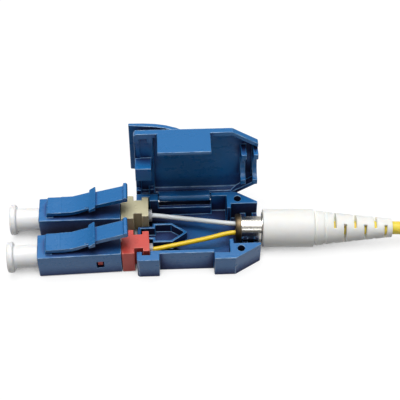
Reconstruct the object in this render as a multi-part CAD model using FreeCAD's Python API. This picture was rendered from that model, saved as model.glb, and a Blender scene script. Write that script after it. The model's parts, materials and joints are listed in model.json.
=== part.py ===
"""LC duplex uniboot fibre connector on a half-metre patch cord, its hinged housing open.

Millimetres. X runs along the connector, the boot and cable towards +X and the plugs towards -X.
The origin is the centre of the tray's underside, and the part rests on Z = 0.
"""
import FreeCAD
import Part
import math
import os

Vec = FreeCAD.Vector

# ---- clearances -------------------------------------------------------------------------------
RUN_GAP = 0.05          # radial clearance of a part that turns or slides in another
SEAT_GAP = 0.02         # radial clearance of a part that is pushed in and stays
LID_GAP = 0.05          # between the closed shells
SIDE_GAP = 0.17         # between the flap or knuckle and the ends of its recess
SEAM = 0.1              # how far two bodies of one piece run into each other
TINY = 0.01             # overlap of two cuts that meet

# ---- tray (lower shell) -----------------------------------------------------------------------
TRAY_LEN = 18.78
TRAY_W = 13.4
TRAY_H = 4.17
FLOOR = 0.6
FRONT_BLOCK = 3.37      # length of the thick block at the plug end
REAR_BLOCK = 7.12       # length of the thick block at the boot end
NOSE_LEN = 3.94         # length of the slanted corner at the boot end
NOSE_IN = 2.47          # how far the slanted corner comes in
RECESS = 1.25           # depth of the recess along each long side
WALL = 0.6              # wall left inside the recess
LIP = 0.79              # thickness of the slotted lip that holds the plugs' necks
POCKET = 1.25           # length of the pocket for the plugs' flanges
BACK_LIP = 0.8          # lip behind that pocket
SLOT_HALF = 5.0         # half-width of the mouth between the two front lips
POCKET_HALF = 5.65
LOW_WALL_H = 2.3        # the wall under the hinge is this high
SHELF_H = 1.85          # the shelf outside that wall is this high
PARTITION_IN = 4.74     # from the boot end to the partition's front
PARTITION = 0.6
PARTITION_HALF = 3.0    # half-width of the gateway for the fibre tubes
SIDE_BAY_HALF = 5.5
BAY_HALF = 3.85         # half-width of the bay for the crimp post
PEG_IN = 3.05           # from the boot end to the peg holes
PEG_Y = 4.84
PEG_R = 0.55
PEG_DEPTH = 2.8
HINGE_ROOM = 0.5        # room inside the low wall for the hinge barrel
HINGE_RELIEF = 0.5      # chamfer that lets the lid's rim swing past the blocks
EDGE = 0.14             # small chamfer on the long outer edges
CORNER = 0.3            # cut of the outer corners at the plug end

# ---- fibre guide loop in the tray ---------------------------------------------------------------
LOOP_WALL = 0.35
LOOP_H = 2.3
LOOP_IN = 0.19          # from the plug end to the loop
LOOP_NECK = 2.25        # length of its narrow front
LOOP_BODY = 2.95        # length of its wide middle
LOOP_TAPER = 2.3        # length of its pointed end
LOOP_NARROW = 1.2
LOOP_WIDE = 1.84
LOOP_TIP_HALF = 0.12
LOOP_MITRE = 0.3        # shift of the inner wall's shoulder per millimetre of wall
LOOP_POINT = 1.6        # shift of the inner wall's point per millimetre of wall

# ---- cradle for the crimp post, in both shells ---------------------------------------------------
AXIS_Z = 2.9            # height of the post's and the boot's axis
RIB_FRONT_IN = 2.59     # from the boot end to the front rib
RIB_T = 0.8
RIB_END_T = 0.74        # the rear rib ends with the shell
CRADLE_GAP = 0.25       # room for the post to lie askew in its open cradle
CRADLE_HALF = 3.1

# ---- hinge ------------------------------------------------------------------------------------
HINGE_Y = 6.0
HINGE_Z = 3.42
KNUCKLE_R = 0.6
TRUNNION_R = 0.35
TRUNNION_LEN = 0.75
OPEN_DEG = 95.0         # how far the lid stands open at rest

# ---- lid (upper shell) ------------------------------------------------------------------------
LID_EDGE_H = 1.0        # height of the lid's straight side wall
LID_CROWN = 0.98        # how much the lid's top stands above that wall
LID_SHOULDER = 1.5      # width of the slope between wall and top
LID_END_SLOPE = 0.35    # length of that slope at the plug end
LID_NOSE_SLOPE = 0.9    # and at the boot end
NECK_ROOF = 4.95        # the lid's inside is lower over the plugs' flanges
LID_WALL = 0.8
COVE_IN = 0.35          # share of the shoulder at which the lid's inner cove bends
COVE_DROP = 0.3         # that bend under the roof
COVE_RISE = 0.35        # start of the cove above the rim
NECK_AIR = 0.15         # room over the plugs' necks in the lid's slots
LID_ROOF = 0.75
FLAP_T = 0.85
FLAP_FOOT = 0.1         # height of the flap's end above the underside
FLAP_LEAD = 0.3         # slanted inner edge of that end
TENON_HALF = 1.25       # half-width of the block that fills the middle of the mouth
TENON_LEN = 2.5
TENON_GAP = 0.15
SNAP_Z = 1.1            # height of the snap ridge's foot
SNAP_H = 0.25
SNAP_T = 0.22
SNAP_IN = 1.0           # how much shorter than the flap the ridge is at each end

# ---- release trigger --------------------------------------------------------------------------
TRIGGER_HALF = 4.6
TRIGGER_T = 0.75
TRIGGER_TIP_T = 0.5
TRIGGER_OUT = 0.86      # how far the trigger stands out past the plug end
TRIGGER_TIP_Z = 9.2
TRIGGER_BACK = 8.04     # from the plug end to the trigger's root
TRIGGER_CROWN = ((2.35, 0.05), (4.1, 0.22), (5.75, 0.6), (7.25, 1.2))   # (behind the tip, below it)
TRIGGER_GRIPS = 3
GRIP_IN = 1.44          # from the plug end to the first grip
GRIP_PITCH = 1.05
GRIP_R = 0.3
GRIP_SUNK = 0.22        # how far a grip's axis lies under the tip's height
GRIP_DROP = 0.1         # and how much lower each one is than the one before
GRIP_SHORT = 0.4        # how much shorter than the trigger a grip is at each end
FLEX_R = 0.36           # round root of a sprung tongue
FOOT_SLOPE = 2.1        # length of the ramp behind that root
FOOT_FLAT = 0.5
FOOT_GAP = 0.12         # between the root and the lid's top

# ---- LC plugs, each in its own frame: rear face at x = 0, underside at z = 0 ---------------------
PLUG = 4.52
PLUG_LEN = 12.5
PLUG_EDGE = 0.12        # chamfer of the plug's edges
MOUTH_R = 1.65
MOUTH_DEPTH = 3.0
SHOULDER = 0.8
SHOULDER_R = 0.78
MAIN_R = 1.5
WINDOW_X = -3.2
WINDOW_Z = 2.1
WINDOW_W = 1.1
WINDOW_H = 1.5
WINDOW_DEPTH = 0.35     # how far the tooth lies inside the window
TOOTH_LEN = 0.8
TOOTH_H = 1.1
PLUG_LIFT = 0.148       # height of the plugs' undersides above the tray's
PLUGS = {"a": (0.05, 3.30, 0.3), "b": (0.12, -3.45, 2.0)}   # play behind the front lip, place across, yaw
FAR_PLUG_Y = 3.3        # the far plugs lie square and as far apart as an adapter's ports

# latch, with a wide tongue up to the ears and a narrower paddle over it and behind
TONGUE_W = 3.2
TONGUE_IN = 1.2         # from the plug's face to the tongue's root
TONGUE_ROOT_LEN = 1.0
TONGUE_GAP = 0.28       # slot under the tongue
TONGUE_T = 0.75
FLEX_IN = 3.7           # from the plug's face to where the lever bends
RISE = ((1.5, 0.12), (2.5, 0.42))    # (behind the bend, above the straight tongue)
EAR_X = -4.68           # front of the locking ears
EAR_LEN = 1.0
EAR_W = 4.15
EAR_Z = 7.2             # peak of the ears, at their upright rear face
EAR_T = 0.85
EAR_RISE = 0.7          # how much lower their front is
PADDLE_W = 2.7
PADDLE_T = 0.8
PADDLE_LEAD = 1.0       # how far in front of the ears the paddle starts
PADDLE_Z = 6.92         # its top over the ears' rear face
TIP_X = 1.27
TIP_Z = 8.2
LIP_W = 3.1
LIP_H = 0.32
LIP_T = 0.55

# rear body
COLLAR_LEN = 2.02
NECK_LEN = 1.3
NECK_W = 2.6
FLANGE_LEN = 1.0
FLANGE_W = 3.8
BARREL_LEN = 3.9
BARREL_BORE = 1.25
TAIL_BORE = 0.8
NECK_BASE = 0.55        # underside of neck and flange, above the plug's underside
BODY_EDGE = 0.1
SPRING_SEAT = 1.0       # from the barrel's front to the step that the spring bears on

# ferrule, its holder and spring
FERRULE_R = 0.625
FERRULE_LEN = 6.5
FERRULE_EDGE = 0.12
FERRULE_OUT = 1.8       # how far the ferrule stands out of the plug's face
HOLDER_LEN = 2.0
HOLDER_HEX = 1.2        # length of its six-sided front
HOLDER_BORE = 0.25
HOLDER_TAIL_R = 0.7
HOLDER_TAIL = 2.65
SPRING_R = 1.0
SPRING_WIRE = 0.16
SPRING_TURNS = 4
SPRING_GAP = 0.03

# dust caps
CAP_R = 1.73
CAP_OUT = 3.6
CAP_RIM_R = 2.35
CAP_RIM = 0.95
CAP_NOSE = 2.9          # length of the nose that grips the plug's mouth
CAP_EDGE = 0.2
CAP_CLEAR = 0.375       # room round the ferrule, which the cap never touches
CAP_DEPTH = 0.4         # room before the ferrule's tip

# lead-in sleeves and fibre tubes
SLEEVE_R = 0.95
SLEEVE_LEN = 1.4
SLEEVE_OUT = 0.5
TUBE_R = 0.45
TUBE_LEAD = 0.4         # straight length of a tube behind its sleeve
TUBE_BEND = (1.5, 1.7, 2.68)
TUBE_MOUTH = 0.8        # where the two tubes close up in front of the post
TUBE_APART = 0.88

# ---- crimp post, sleeve, boot ------------------------------------------------------------------
POST_YAW = -2.0         # the post and boot lie a little askew in the open cradle
POST_IN = 3.66          # from the boot end to the post's front face
POST_FLANGE = 0.87
POST_FLANGE_R = 2.2
POST_R = 1.85
POST_LEN = 4.17         # from the front face to the boot
POST_RIM = 0.15
POST_RIM_R = 2.45
POST_EDGE = 0.1
POST_BORE = 1.4
STEM_R = 1.75
STEM_LEN = 4.2
CRIMP_R = 2.15
CRIMP_LEN = 6.4
CRIMP_STEP = 0.3        # length of the sleeve's shoulder over the stem's end
BOOT_LEN = 20.2
BOOT_R = 2.92
BOOT_STRAIGHT = 7.8
BOOT_END_R = 1.43
BOOT_STEP = 0.18        # drop in radius behind the straight part
BOOT_EDGE = 0.12
BOOT_GROOVES = 2
GROOVE_PITCH = 1.5
GROOVE_W = 0.5
GROOVE_D = 0.28
SLOT_COUNT = 6
SLOT_PITCH = 1.57
SLOT_FIRST = 11.45
SLOT_W = 0.42
SLOT_HALF_DEG = 54      # half the angle that a slot takes of the boot's round
SLOT_ROLL = -13         # the boot sits turned by this much on the cable
BOOT_BORE_LEN = 6.4
CABLE_R = 1.0

# ---- hank of cable and the cord's far end -----------------------------------------------------
TIE_T = 0.4
TIE_W = 2.5
HANK_X = 52.0           # centre of the end loops nearest the connector
HANK_RUN = 30.0
HANK_Y = 3.5
HANK_MEAN_R = 7.0
HANK_TURNS_WIDE = 2
HANK_TURNS_HIGH = 2
FAR_TAIL_X = 104.0      # the far boot's end
TIE_CORNER = 0.5
BUCKLE_W = 1.8
BUCKLE_H = 0.8
BUCKLE_OVER = 0.25      # how far the buckle stands past the strap's edges

# points of the cable's two free stretches
NEAR_ROUTE = [(36.08, -1.06, 2.9), (43.0, -3.2, 1.9), (50.0, -4.2, 1.6), (57.0, -4.3, 1.6)]
FAR_ROUTE = [(76.0, -4.3, 3.2), (83.0, -4.2, 3.2), (90.0, -3.2, 3.1), (97.0, 0.0, 2.9), (104.0, 0.0, 2.9)]

# ---- derived sizes ----------------------------------------------------------------------------
X_FRONT = -TRAY_LEN / 2
X_REAR = TRAY_LEN / 2
Y_OUT = TRAY_W / 2
RECESS_X0 = X_FRONT + FRONT_BLOCK
RECESS_X1 = X_REAR - REAR_BLOCK
Y_WALL = Y_OUT - RECESS
Y_IN = Y_WALL - WALL
RIM_Z = TRAY_H + LID_GAP
LID_TOP = RIM_Z + LID_EDGE_H + LID_CROWN
ROOF_Z = LID_TOP - LID_ROOF
POCKET_X0 = X_FRONT + LIP
POCKET_X1 = POCKET_X0 + POCKET
CRADLE_R = POST_R + CRADLE_GAP
PARTITION_X = X_REAR - PARTITION_IN
PEG_X = X_REAR - PEG_IN
RIB_FRONT_X = X_REAR - RIB_FRONT_IN
RIB_REAR_X = X_REAR - RIB_END_T
POST_X = X_REAR - POST_IN
BOOT_X = POST_X + POST_LEN
TRIGGER_TIP_X = X_FRONT - TRIGGER_OUT
TRIGGER_ROOT_X = X_FRONT + TRIGGER_BACK
TRIGGER_ROOT_Z = LID_TOP + FLEX_R + FOOT_GAP
FLAP_X0 = RECESS_X0 + SIDE_GAP
FLAP_X1 = RECESS_X1 - SIDE_GAP
PLUG_MID = PLUG / 2
TONGUE_Z = PLUG + TONGUE_GAP
TONGUE_ROOT = TONGUE_IN - PLUG_LEN
FLEX_X = FLEX_IN - PLUG_LEN
NECK_TOP = PLUG + PLUG_LIFT
FLANGE_X = COLLAR_LEN + NECK_LEN
CAP_BORE_R = FERRULE_R + CAP_CLEAR
CAP_NOSE_R = MOUTH_R - RUN_GAP
HOLDER_R = MAIN_R - RUN_GAP
BARREL_R = MAIN_R - SEAT_GAP
HANK_Z = TIE_T
HANK_HALF = HANK_TURNS_WIDE * CABLE_R
HANK_TOP = HANK_Z + HANK_TURNS_HIGH * 2 * CABLE_R
PLACES = {name: (POCKET_X0 + play - FLANGE_X, y, yaw) for name, (play, y, yaw) in PLUGS.items()}


# ---- small helpers ------------------------------------------------------------------------------
def block(x0, x1, y0, y1, z0, z1):
    """A box from its limits."""
    return Part.makeBox(x1 - x0, y1 - y0, z1 - z0, Vec(x0, y0, z0))


def plan(points, z0, z1):
    """A prism on a plan outline."""
    corners = [Vec(x, y, z0) for x, y in points]
    return Part.Face(Part.makePolygon(corners + corners[:1])).extrude(Vec(0, 0, z1 - z0))


def side(points, y0, y1):
    """A prism on an outline in the XZ plane."""
    corners = [Vec(x, y0, z) for x, z in points]
    return Part.Face(Part.makePolygon(corners + corners[:1])).extrude(Vec(0, y1 - y0, 0))


def across(points, x0, x1):
    """A prism on an outline in the YZ plane."""
    corners = [Vec(x0, y, z) for y, z in points]
    return Part.Face(Part.makePolygon(corners + corners[:1])).extrude(Vec(x1 - x0, 0, 0))


def rod(r, x0, x1, y=0.0, z=0.0):
    """A cylinder along X."""
    return Part.makeCylinder(r, x1 - x0, Vec(x0, y, z), Vec(1, 0, 0))


def bar(r, y0, y1, x, z):
    """A cylinder along Y."""
    return Part.makeCylinder(r, y1 - y0, Vec(x, y0, z), Vec(0, 1, 0))


def turned(profile, y=0.0, z=0.0):
    """A solid of revolution about a line along X, from (x, radius) points."""
    corners = [Vec(x, y, z + r) for x, r in profile]
    face = Part.Face(Part.makePolygon(corners + corners[:1]))
    return face.revolve(Vec(0, y, z), Vec(1, 0, 0), 360)


def mirrored(points):
    """An outline's far half, given from front to rear, with its mirror image."""
    return points + [(x, -y) for x, y in reversed(points)]


def joined(first, *rest):
    """The union of some solids, cleaned of split faces."""
    return first.multiFuse(list(rest)).removeSplitter() if rest else first


def edges_where(shape, test):
    """The straight edges whose two ends both pass a test."""
    return [e for e in shape.Edges if len(e.Vertexes) == 2 and all(test(v.Point) for v in e.Vertexes)]


def long_edges(solid):
    """The edges that run along X from one end of the solid to the other."""
    reach = solid.BoundBox.XLength - SEAM
    return [e for e in solid.Edges if e.BoundBox.XLength > reach]


def near(a, b):
    """Whether two lengths are the same."""
    return abs(a - b) < 1e-4


def moved(shape, x=0.0, y=0.0, z=0.0, yaw=0.0):
    """A copy turned about Z by yaw degrees and then moved."""
    copy = shape.copy()
    copy.rotate(Vec(0, 0, 0), Vec(0, 0, 1), yaw)
    copy.translate(Vec(x, y, z))
    return copy


# ---- tray -------------------------------------------------------------------------------------
def shell_outline(recessed):
    """The housing's plan outline, with or without the side recesses."""
    half = [(X_FRONT, Y_OUT - CORNER), (X_FRONT + CORNER, Y_OUT)]
    if recessed:
        half += [(RECESS_X0, Y_OUT), (RECESS_X0, Y_WALL), (RECESS_X1, Y_WALL), (RECESS_X1, Y_OUT)]
    return mirrored(half + [(X_REAR - NOSE_LEN, Y_OUT), (X_REAR, Y_OUT - NOSE_IN)])


def tray_cavity():
    """The room inside the tray, open at both ends."""
    return plan(mirrored([
        (X_FRONT - 1, SLOT_HALF), (POCKET_X0, SLOT_HALF), (POCKET_X0, POCKET_HALF),
        (POCKET_X1, POCKET_HALF), (POCKET_X1, Y_IN), (RECESS_X1, Y_IN),
        (RECESS_X1, SIDE_BAY_HALF), (PARTITION_X, SIDE_BAY_HALF), (PARTITION_X, PARTITION_HALF),
        (PARTITION_X + PARTITION, PARTITION_HALF), (PARTITION_X + PARTITION, BAY_HALF),
        (X_REAR + 1, BAY_HALF)]), FLOOR, TRAY_H + 1)


def guide_loop():
    """The low walled loop that keeps the two fibre tubes apart."""
    def ring(t):
        front = X_FRONT + LOOP_IN
        step = front + LOOP_NECK
        shoulder = step + LOOP_BODY
        return mirrored([
            (front + t, LOOP_NARROW - t), (step + t, LOOP_NARROW - t), (step + t, LOOP_WIDE - t),
            (shoulder - t * LOOP_MITRE, LOOP_WIDE - t),
            (shoulder + LOOP_TAPER - t * LOOP_POINT, LOOP_TIP_HALF)])
    return plan(ring(0), FLOOR, LOOP_H).cut(plan(ring(LOOP_WALL), FLOOR, LOOP_H))


def post_cradle(z0, z1, half):
    """Two ribs with a round seat for the post's barrel."""
    spans = ((RIB_FRONT_X, RIB_FRONT_X + RIB_T), (RIB_REAR_X, X_REAR))
    ribs = [block(x0, x1, -half, half, z0, z1) for x0, x1 in spans]
    seat = rod(CRADLE_R, X_FRONT, X_REAR + 1, 0, AXIS_Z)
    return [r.cut(seat) for r in ribs]


def tray_shell(room):
    """The tray's outside, with its hinge recess and the given room inside."""
    body = plan(shell_outline(True), 0, TRAY_H)
    under = edges_where(body, lambda p: near(abs(p.y), Y_OUT) and near(p.z, 0))
    body = body.makeChamfer(EDGE, under).cut(room)
    body = body.cut(block(RECESS_X0, RECESS_X1, Y_IN - HINGE_ROOM, Y_OUT, LOW_WALL_H, TRAY_H + 1))
    shelf = block(RECESS_X0, RECESS_X1, Y_WALL - SEAM, Y_OUT - EDGE, 0, SHELF_H)
    body = joined(body, shelf)
    relief = edges_where(body, lambda p: near(p.y, Y_OUT) and near(p.z, TRAY_H))
    return body.makeChamfer(HINGE_RELIEF, relief)


def make_tray():
    """The lower shell."""
    body = tray_shell(tray_cavity())
    for sign in (1, -1):
        hole = Part.makeCylinder(PEG_R, PEG_DEPTH + 1, Vec(PEG_X, sign * PEG_Y, TRAY_H - PEG_DEPTH))
        body = body.cut(hole)
    bore_r = TRUNNION_R + RUN_GAP
    depth = TRUNNION_LEN + SIDE_GAP
    body = body.cut(rod(bore_r, RECESS_X0 - depth, RECESS_X1 + depth, HINGE_Y, HINGE_Z))
    return joined(body, guide_loop(), *post_cradle(FLOOR, AXIS_Z - LID_GAP, BAY_HALF))


# ---- lid, in its closed place -------------------------------------------------------------------
def lid_shell():
    """The lid's outside: a straight wall, a sloped shoulder and a flat top."""
    z1 = RIM_Z + LID_EDGE_H
    inset = LID_SHOULDER
    top = mirrored([
        (X_FRONT + LID_END_SLOPE, Y_OUT - CORNER - inset),
        (X_FRONT + LID_END_SLOPE + CORNER, Y_OUT - inset),
        (X_REAR - NOSE_LEN - LID_NOSE_SLOPE, Y_OUT - inset),
        (X_REAR - LID_NOSE_SLOPE, Y_OUT - NOSE_IN - inset)])
    foot = shell_outline(False)
    wires = [Part.makePolygon([Vec(x, y, z) for x, y in points + points[:1]])
             for points, z in ((foot, z1), (top, LID_TOP))]
    return joined(plan(foot, RIM_Z, z1), Part.makeLoft(wires, True, True))


def lid_cavity():
    """The room inside the lid: a coved trough, the flange pocket and the neck slots."""
    half = Y_OUT - LID_WALL
    rear = [(POCKET_X1 + BACK_LIP, half), (X_REAR - NOSE_LEN, half),
            (X_REAR, half - NOSE_IN), (X_REAR + 1, half - NOSE_IN)]
    low = RIM_Z - 1
    room = plan(mirrored(rear), low, ROOF_Z)
    bend = half - LID_SHOULDER * COVE_IN
    flat = half - LID_SHOULDER
    right = [(flat, ROOF_Z), (bend, ROOF_Z - COVE_DROP), (half, RIM_Z + COVE_RISE), (half, low)]
    left = [(-y, z) for y, z in reversed(right)]
    trough = across(left + right, X_FRONT, X_REAR + 1)
    pocket = block(POCKET_X0, POCKET_X1, -POCKET_HALF, POCKET_HALF, low, NECK_ROOF)
    passage = block(POCKET_X1 - TINY, POCKET_X1 + BACK_LIP + TINY, -Y_IN, Y_IN, low, NECK_ROOF)
    slots = block(X_FRONT - 1, POCKET_X0 + TINY, -SLOT_HALF, SLOT_HALF, low, NECK_TOP + NECK_AIR)
    return joined(room.common(trough), pocket, passage).fuse(slots)


def lid_tenon():
    """The block in the middle of the lid's front, which fills the mouth between the plugs' necks."""
    return block(X_FRONT + LID_GAP, X_FRONT + TENON_LEN, -TENON_HALF, TENON_HALF, LOOP_H + TENON_GAP,
                 ROOF_Z + SEAM)


def lid_flap():
    """The snap flap that fills the near recess, with its snap ridge."""
    y = FLAP_T - Y_OUT
    flap = block(FLAP_X0, FLAP_X1, -Y_OUT, y, FLAP_FOOT, RIM_Z + SEAM)
    foot = edges_where(flap, lambda p: near(p.z, FLAP_FOOT) and near(p.y, y))
    flap = flap.makeChamfer(FLAP_LEAD, foot)
    ridge = across([(y, SNAP_Z), (y + SNAP_T, SNAP_Z + SNAP_H), (y, SNAP_Z + 2 * SNAP_H)],
                   FLAP_X0 + SNAP_IN, FLAP_X1 - SNAP_IN)
    return joined(flap, ridge)


def lid_knuckle():
    """The hinge barrel and its web to the rim."""
    barrel = rod(KNUCKLE_R, FLAP_X0, FLAP_X1, HINGE_Y, HINGE_Z)
    web = block(FLAP_X0, FLAP_X1, HINGE_Y - KNUCKLE_R, HINGE_Y + KNUCKLE_R, HINGE_Z, RIM_Z + SEAM)
    return joined(barrel, web)


def lid_trunnions():
    """The pin that stands out of both ends of the hinge barrel."""
    return rod(TRUNNION_R, FLAP_X0 - TRUNNION_LEN, FLAP_X1 + TRUNNION_LEN, HINGE_Y, HINGE_Z)


def trigger_foot():
    """The ramp on the lid's top that the trigger springs from, with the socket of its root."""
    x, top = TRIGGER_ROOT_X, TRIGGER_ROOT_Z + FLEX_R
    low = LID_TOP - SEAM
    ramp = side([(x, low), (x, top), (x + FOOT_FLAT, top), (x + FOOT_FLAT + FOOT_SLOPE, low)],
                -TRIGGER_HALF, TRIGGER_HALF)
    return ramp.cut(bar(FLEX_R + RUN_GAP, -TRIGGER_HALF - 1, TRIGGER_HALF + 1, x, TRIGGER_ROOT_Z))


def make_lid():
    """The upper shell, closed."""
    ribs = post_cradle(AXIS_Z + LID_GAP, ROOF_Z + SEAM, CRADLE_HALF)
    shell = lid_shell().cut(lid_cavity())
    return joined(shell, lid_tenon(), lid_flap(), trigger_foot(), lid_knuckle(), lid_trunnions(), *ribs)


# ---- release trigger, in its closed place ---------------------------------------------------------
def make_trigger():
    """The sprung plate over the lid, ribbed for the thumb."""
    x, z = TRIGGER_ROOT_X, TRIGGER_ROOT_Z
    tip, top = TRIGGER_TIP_X, TRIGGER_TIP_Z
    line = [(tip + back, top - drop) for back, drop in TRIGGER_CROWN]
    upper = [(tip, top)] + line + [(x - FLEX_R / 2, z + FLEX_R), (x, z + FLEX_R)]
    lower = [(x, z - FLEX_R), (x - 2 * FLEX_R, z - FLEX_R)]
    lower += [(a, b - TRIGGER_T) for a, b in reversed(line)]
    lower.append((tip, top - TRIGGER_TIP_T))
    plate = side(upper + lower, -TRIGGER_HALF, TRIGGER_HALF)
    root = bar(FLEX_R, -TRIGGER_HALF, TRIGGER_HALF, x, z)
    half = TRIGGER_HALF - GRIP_SHORT
    grips = [bar(GRIP_R, -half, half, X_FRONT + GRIP_IN + i * GRIP_PITCH, top - GRIP_SUNK - i * GRIP_DROP)
             for i in range(TRIGGER_GRIPS)]
    return joined(plate, root, *grips)


# ---- plug, in its own frame ---------------------------------------------------------------------
def housing_block():
    """The square outside of the plug."""
    body = block(-PLUG_LEN, 0, -PLUG_MID, PLUG_MID, 0, PLUG)
    face = [e for e in body.Edges if e.BoundBox.XMax < SEAM - PLUG_LEN]
    return body.makeChamfer(PLUG_EDGE, long_edges(body) + face)


def housing_bore():
    """The stepped bore: mouth, shoulder that stops the ferrule's holder, and main bore."""
    face = -PLUG_LEN
    step = face + MOUTH_DEPTH
    return turned([(face - 1, 0), (face - 1, MOUTH_R), (step, MOUTH_R), (step, SHOULDER_R),
                   (step + SHOULDER, SHOULDER_R), (step + SHOULDER, MAIN_R), (1, MAIN_R), (1, 0)],
                  0, PLUG_MID)


def snap_window(length, height, y0, y1):
    """A block at the snap windows' place, from y0 to y1 across the plug."""
    return block(WINDOW_X - length / 2, WINDOW_X + length / 2, y0, y1,
                 WINDOW_Z - height / 2, WINDOW_Z + height / 2)


def tongue_root():
    """The fixed front of the latch, up to where the lever bends."""
    top = TONGUE_Z + TONGUE_T
    x0 = TONGUE_ROOT
    x1 = x0 + TONGUE_ROOT_LEN
    return side([(x0, PLUG - SEAM), (x0 + EDGE, top - EDGE), (x0 + 2 * EDGE, top), (FLEX_X, top),
                 (FLEX_X, TONGUE_Z), (x1, TONGUE_Z), (x1, PLUG - SEAM)], -TONGUE_W / 2, TONGUE_W / 2)


def make_housing():
    """A plug's outer body, with the socket that its lever bends in."""
    window = snap_window(WINDOW_W, WINDOW_H, -PLUG, PLUG)
    socket = bar(TONGUE_T / 2 + RUN_GAP, -PLUG, PLUG, FLEX_X, TONGUE_Z + TONGUE_T / 2)
    return joined(housing_block().cut(housing_bore()).cut(window), tongue_root().cut(socket))


def lever_tongue():
    """The lever's wide part, from the bend to the ears' rear face."""
    top = TONGUE_Z + TONGUE_T
    x1 = EAR_X + EAR_LEN
    rise = [(FLEX_X + back, top + up) for back, up in RISE]
    under = [(x, z - TONGUE_T) for x, z in reversed(rise)]
    return side([(FLEX_X, top)] + rise + [(EAR_X, EAR_Z - EAR_RISE), (x1, PADDLE_Z), (x1, EAR_Z - EAR_T),
                 (EAR_X, EAR_Z - EAR_T - EAR_RISE / 2)] + under + [(FLEX_X, TONGUE_Z)],
                -TONGUE_W / 2, TONGUE_W / 2)


def lever_ears():
    """The two locking ears, which rise to a peak at their upright rear face."""
    x1 = EAR_X + EAR_LEN
    return side([(EAR_X, EAR_Z - EAR_RISE), (x1 - EDGE, EAR_Z), (x1, EAR_Z), (x1, EAR_Z - EAR_T),
                 (EAR_X, EAR_Z - EAR_T - EAR_RISE / 2)], -EAR_W / 2, EAR_W / 2)


def lever_paddle():
    """The narrower thumb paddle over the tongue and behind it, with the lip at its tip."""
    x0 = EAR_X - PADDLE_LEAD
    x1 = EAR_X + EAR_LEN
    slope = (TIP_Z - PADDLE_Z) / (TIP_X - x1)
    start = PADDLE_Z - slope * (x1 - x0)
    slab = side([(x0 + PADDLE_T / 2, start), (TIP_X, TIP_Z), (TIP_X, TIP_Z - PADDLE_T),
                 (x1, PADDLE_Z - PADDLE_T), (x0, start - PADDLE_T)], -PADDLE_W / 2, PADDLE_W / 2)
    x2 = TIP_X - LIP_T
    lip = side([(x2, TIP_Z - LIP_H), (x2 + EDGE, TIP_Z + LIP_H), (TIP_X - EDGE, TIP_Z + LIP_H),
                (TIP_X, TIP_Z), (TIP_X, TIP_Z - LIP_H)], -LIP_W / 2, LIP_W / 2)
    return joined(slab, lip)


def make_lever():
    """The sprung latch lever: bend, tongue, locking ears and thumb paddle."""
    r = TONGUE_T / 2
    root = bar(r, -TONGUE_W / 2, TONGUE_W / 2, FLEX_X, TONGUE_Z + r)
    return joined(lever_tongue(), root, lever_ears(), lever_paddle())


def rear_block():
    """The part of the coloured rear body behind the plug: collar, neck and flange."""
    x1, x2 = FLANGE_X, FLANGE_X + FLANGE_LEN
    collar = block(0, COLLAR_LEN, -PLUG_MID, PLUG_MID, 0, PLUG)
    collar = collar.makeChamfer(BODY_EDGE, long_edges(collar))
    neck = block(COLLAR_LEN, x1, -NECK_W / 2, NECK_W / 2, NECK_BASE, PLUG)
    flange = block(x1, x2, -FLANGE_W / 2, FLANGE_W / 2, NECK_BASE, PLUG)
    flange = flange.makeChamfer(BODY_EDGE, long_edges(flange))
    return joined(collar, neck, flange)


def make_rear_body():
    """The coloured body pushed into the plug's back, with its barrel, snap teeth and stepped bore."""
    barrel = rod(BARREL_R, -BARREL_LEN, SEAM, 0, PLUG_MID)
    reach = PLUG_MID - WINDOW_DEPTH
    tooth = snap_window(TOOTH_LEN, TOOTH_H, -reach, reach)
    seat, sleeve, end = spring_seat_x(), sleeve_x(), FLANGE_X + FLANGE_LEN + 1
    wide = SLEEVE_R + SEAT_GAP
    bore = turned([(-BARREL_LEN - 1, 0), (-BARREL_LEN - 1, BARREL_BORE), (seat, BARREL_BORE),
                   (seat, TAIL_BORE), (sleeve, TAIL_BORE), (sleeve, wide), (end, wide), (end, 0)],
                  0, PLUG_MID)
    return joined(rear_block(), barrel, tooth).cut(bore)


def spring_seat_x():
    """Where the spring bears on the rear body."""
    return SPRING_SEAT - BARREL_LEN


def sleeve_x():
    """Front end of the lead-in sleeve."""
    return FLANGE_X + FLANGE_LEN + SLEEVE_OUT - SLEEVE_LEN


def holder_x():
    """Front face of the ferrule's holder, against the housing's shoulder."""
    return -PLUG_LEN + MOUTH_DEPTH + SHOULDER + RUN_GAP


def make_ferrule():
    """The ceramic ferrule, with a chamfered tip; its fibre is polished flush with it."""
    tip = -PLUG_LEN - FERRULE_OUT
    return turned([(tip, 0), (tip, FERRULE_R - FERRULE_EDGE), (tip + 2 * FERRULE_EDGE, FERRULE_R),
                   (tip + FERRULE_LEN, FERRULE_R), (tip + FERRULE_LEN, 0)], 0, PLUG_MID)


def make_holder():
    """The holder pressed on the ferrule: a six-sided front, a round shoulder and a tail."""
    x = holder_x()
    end = -PLUG_LEN - FERRULE_OUT + FERRULE_LEN
    x1 = x + HOLDER_LEN
    tail = x1 + HOLDER_TAIL
    corners = [(HOLDER_R * math.cos(math.radians(a)), PLUG_MID + HOLDER_R * math.sin(math.radians(a)))
               for a in range(0, 360, 60)]
    body = joined(across(corners, x, x + HOLDER_HEX), rod(HOLDER_R, x + HOLDER_HEX, x1, 0, PLUG_MID),
                  rod(HOLDER_TAIL_R, x1, tail, 0, PLUG_MID))
    return body.cut(rod(FERRULE_R, x - 1, end, 0, PLUG_MID)).cut(rod(HOLDER_BORE, x, tail + 1, 0, PLUG_MID))


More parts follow.
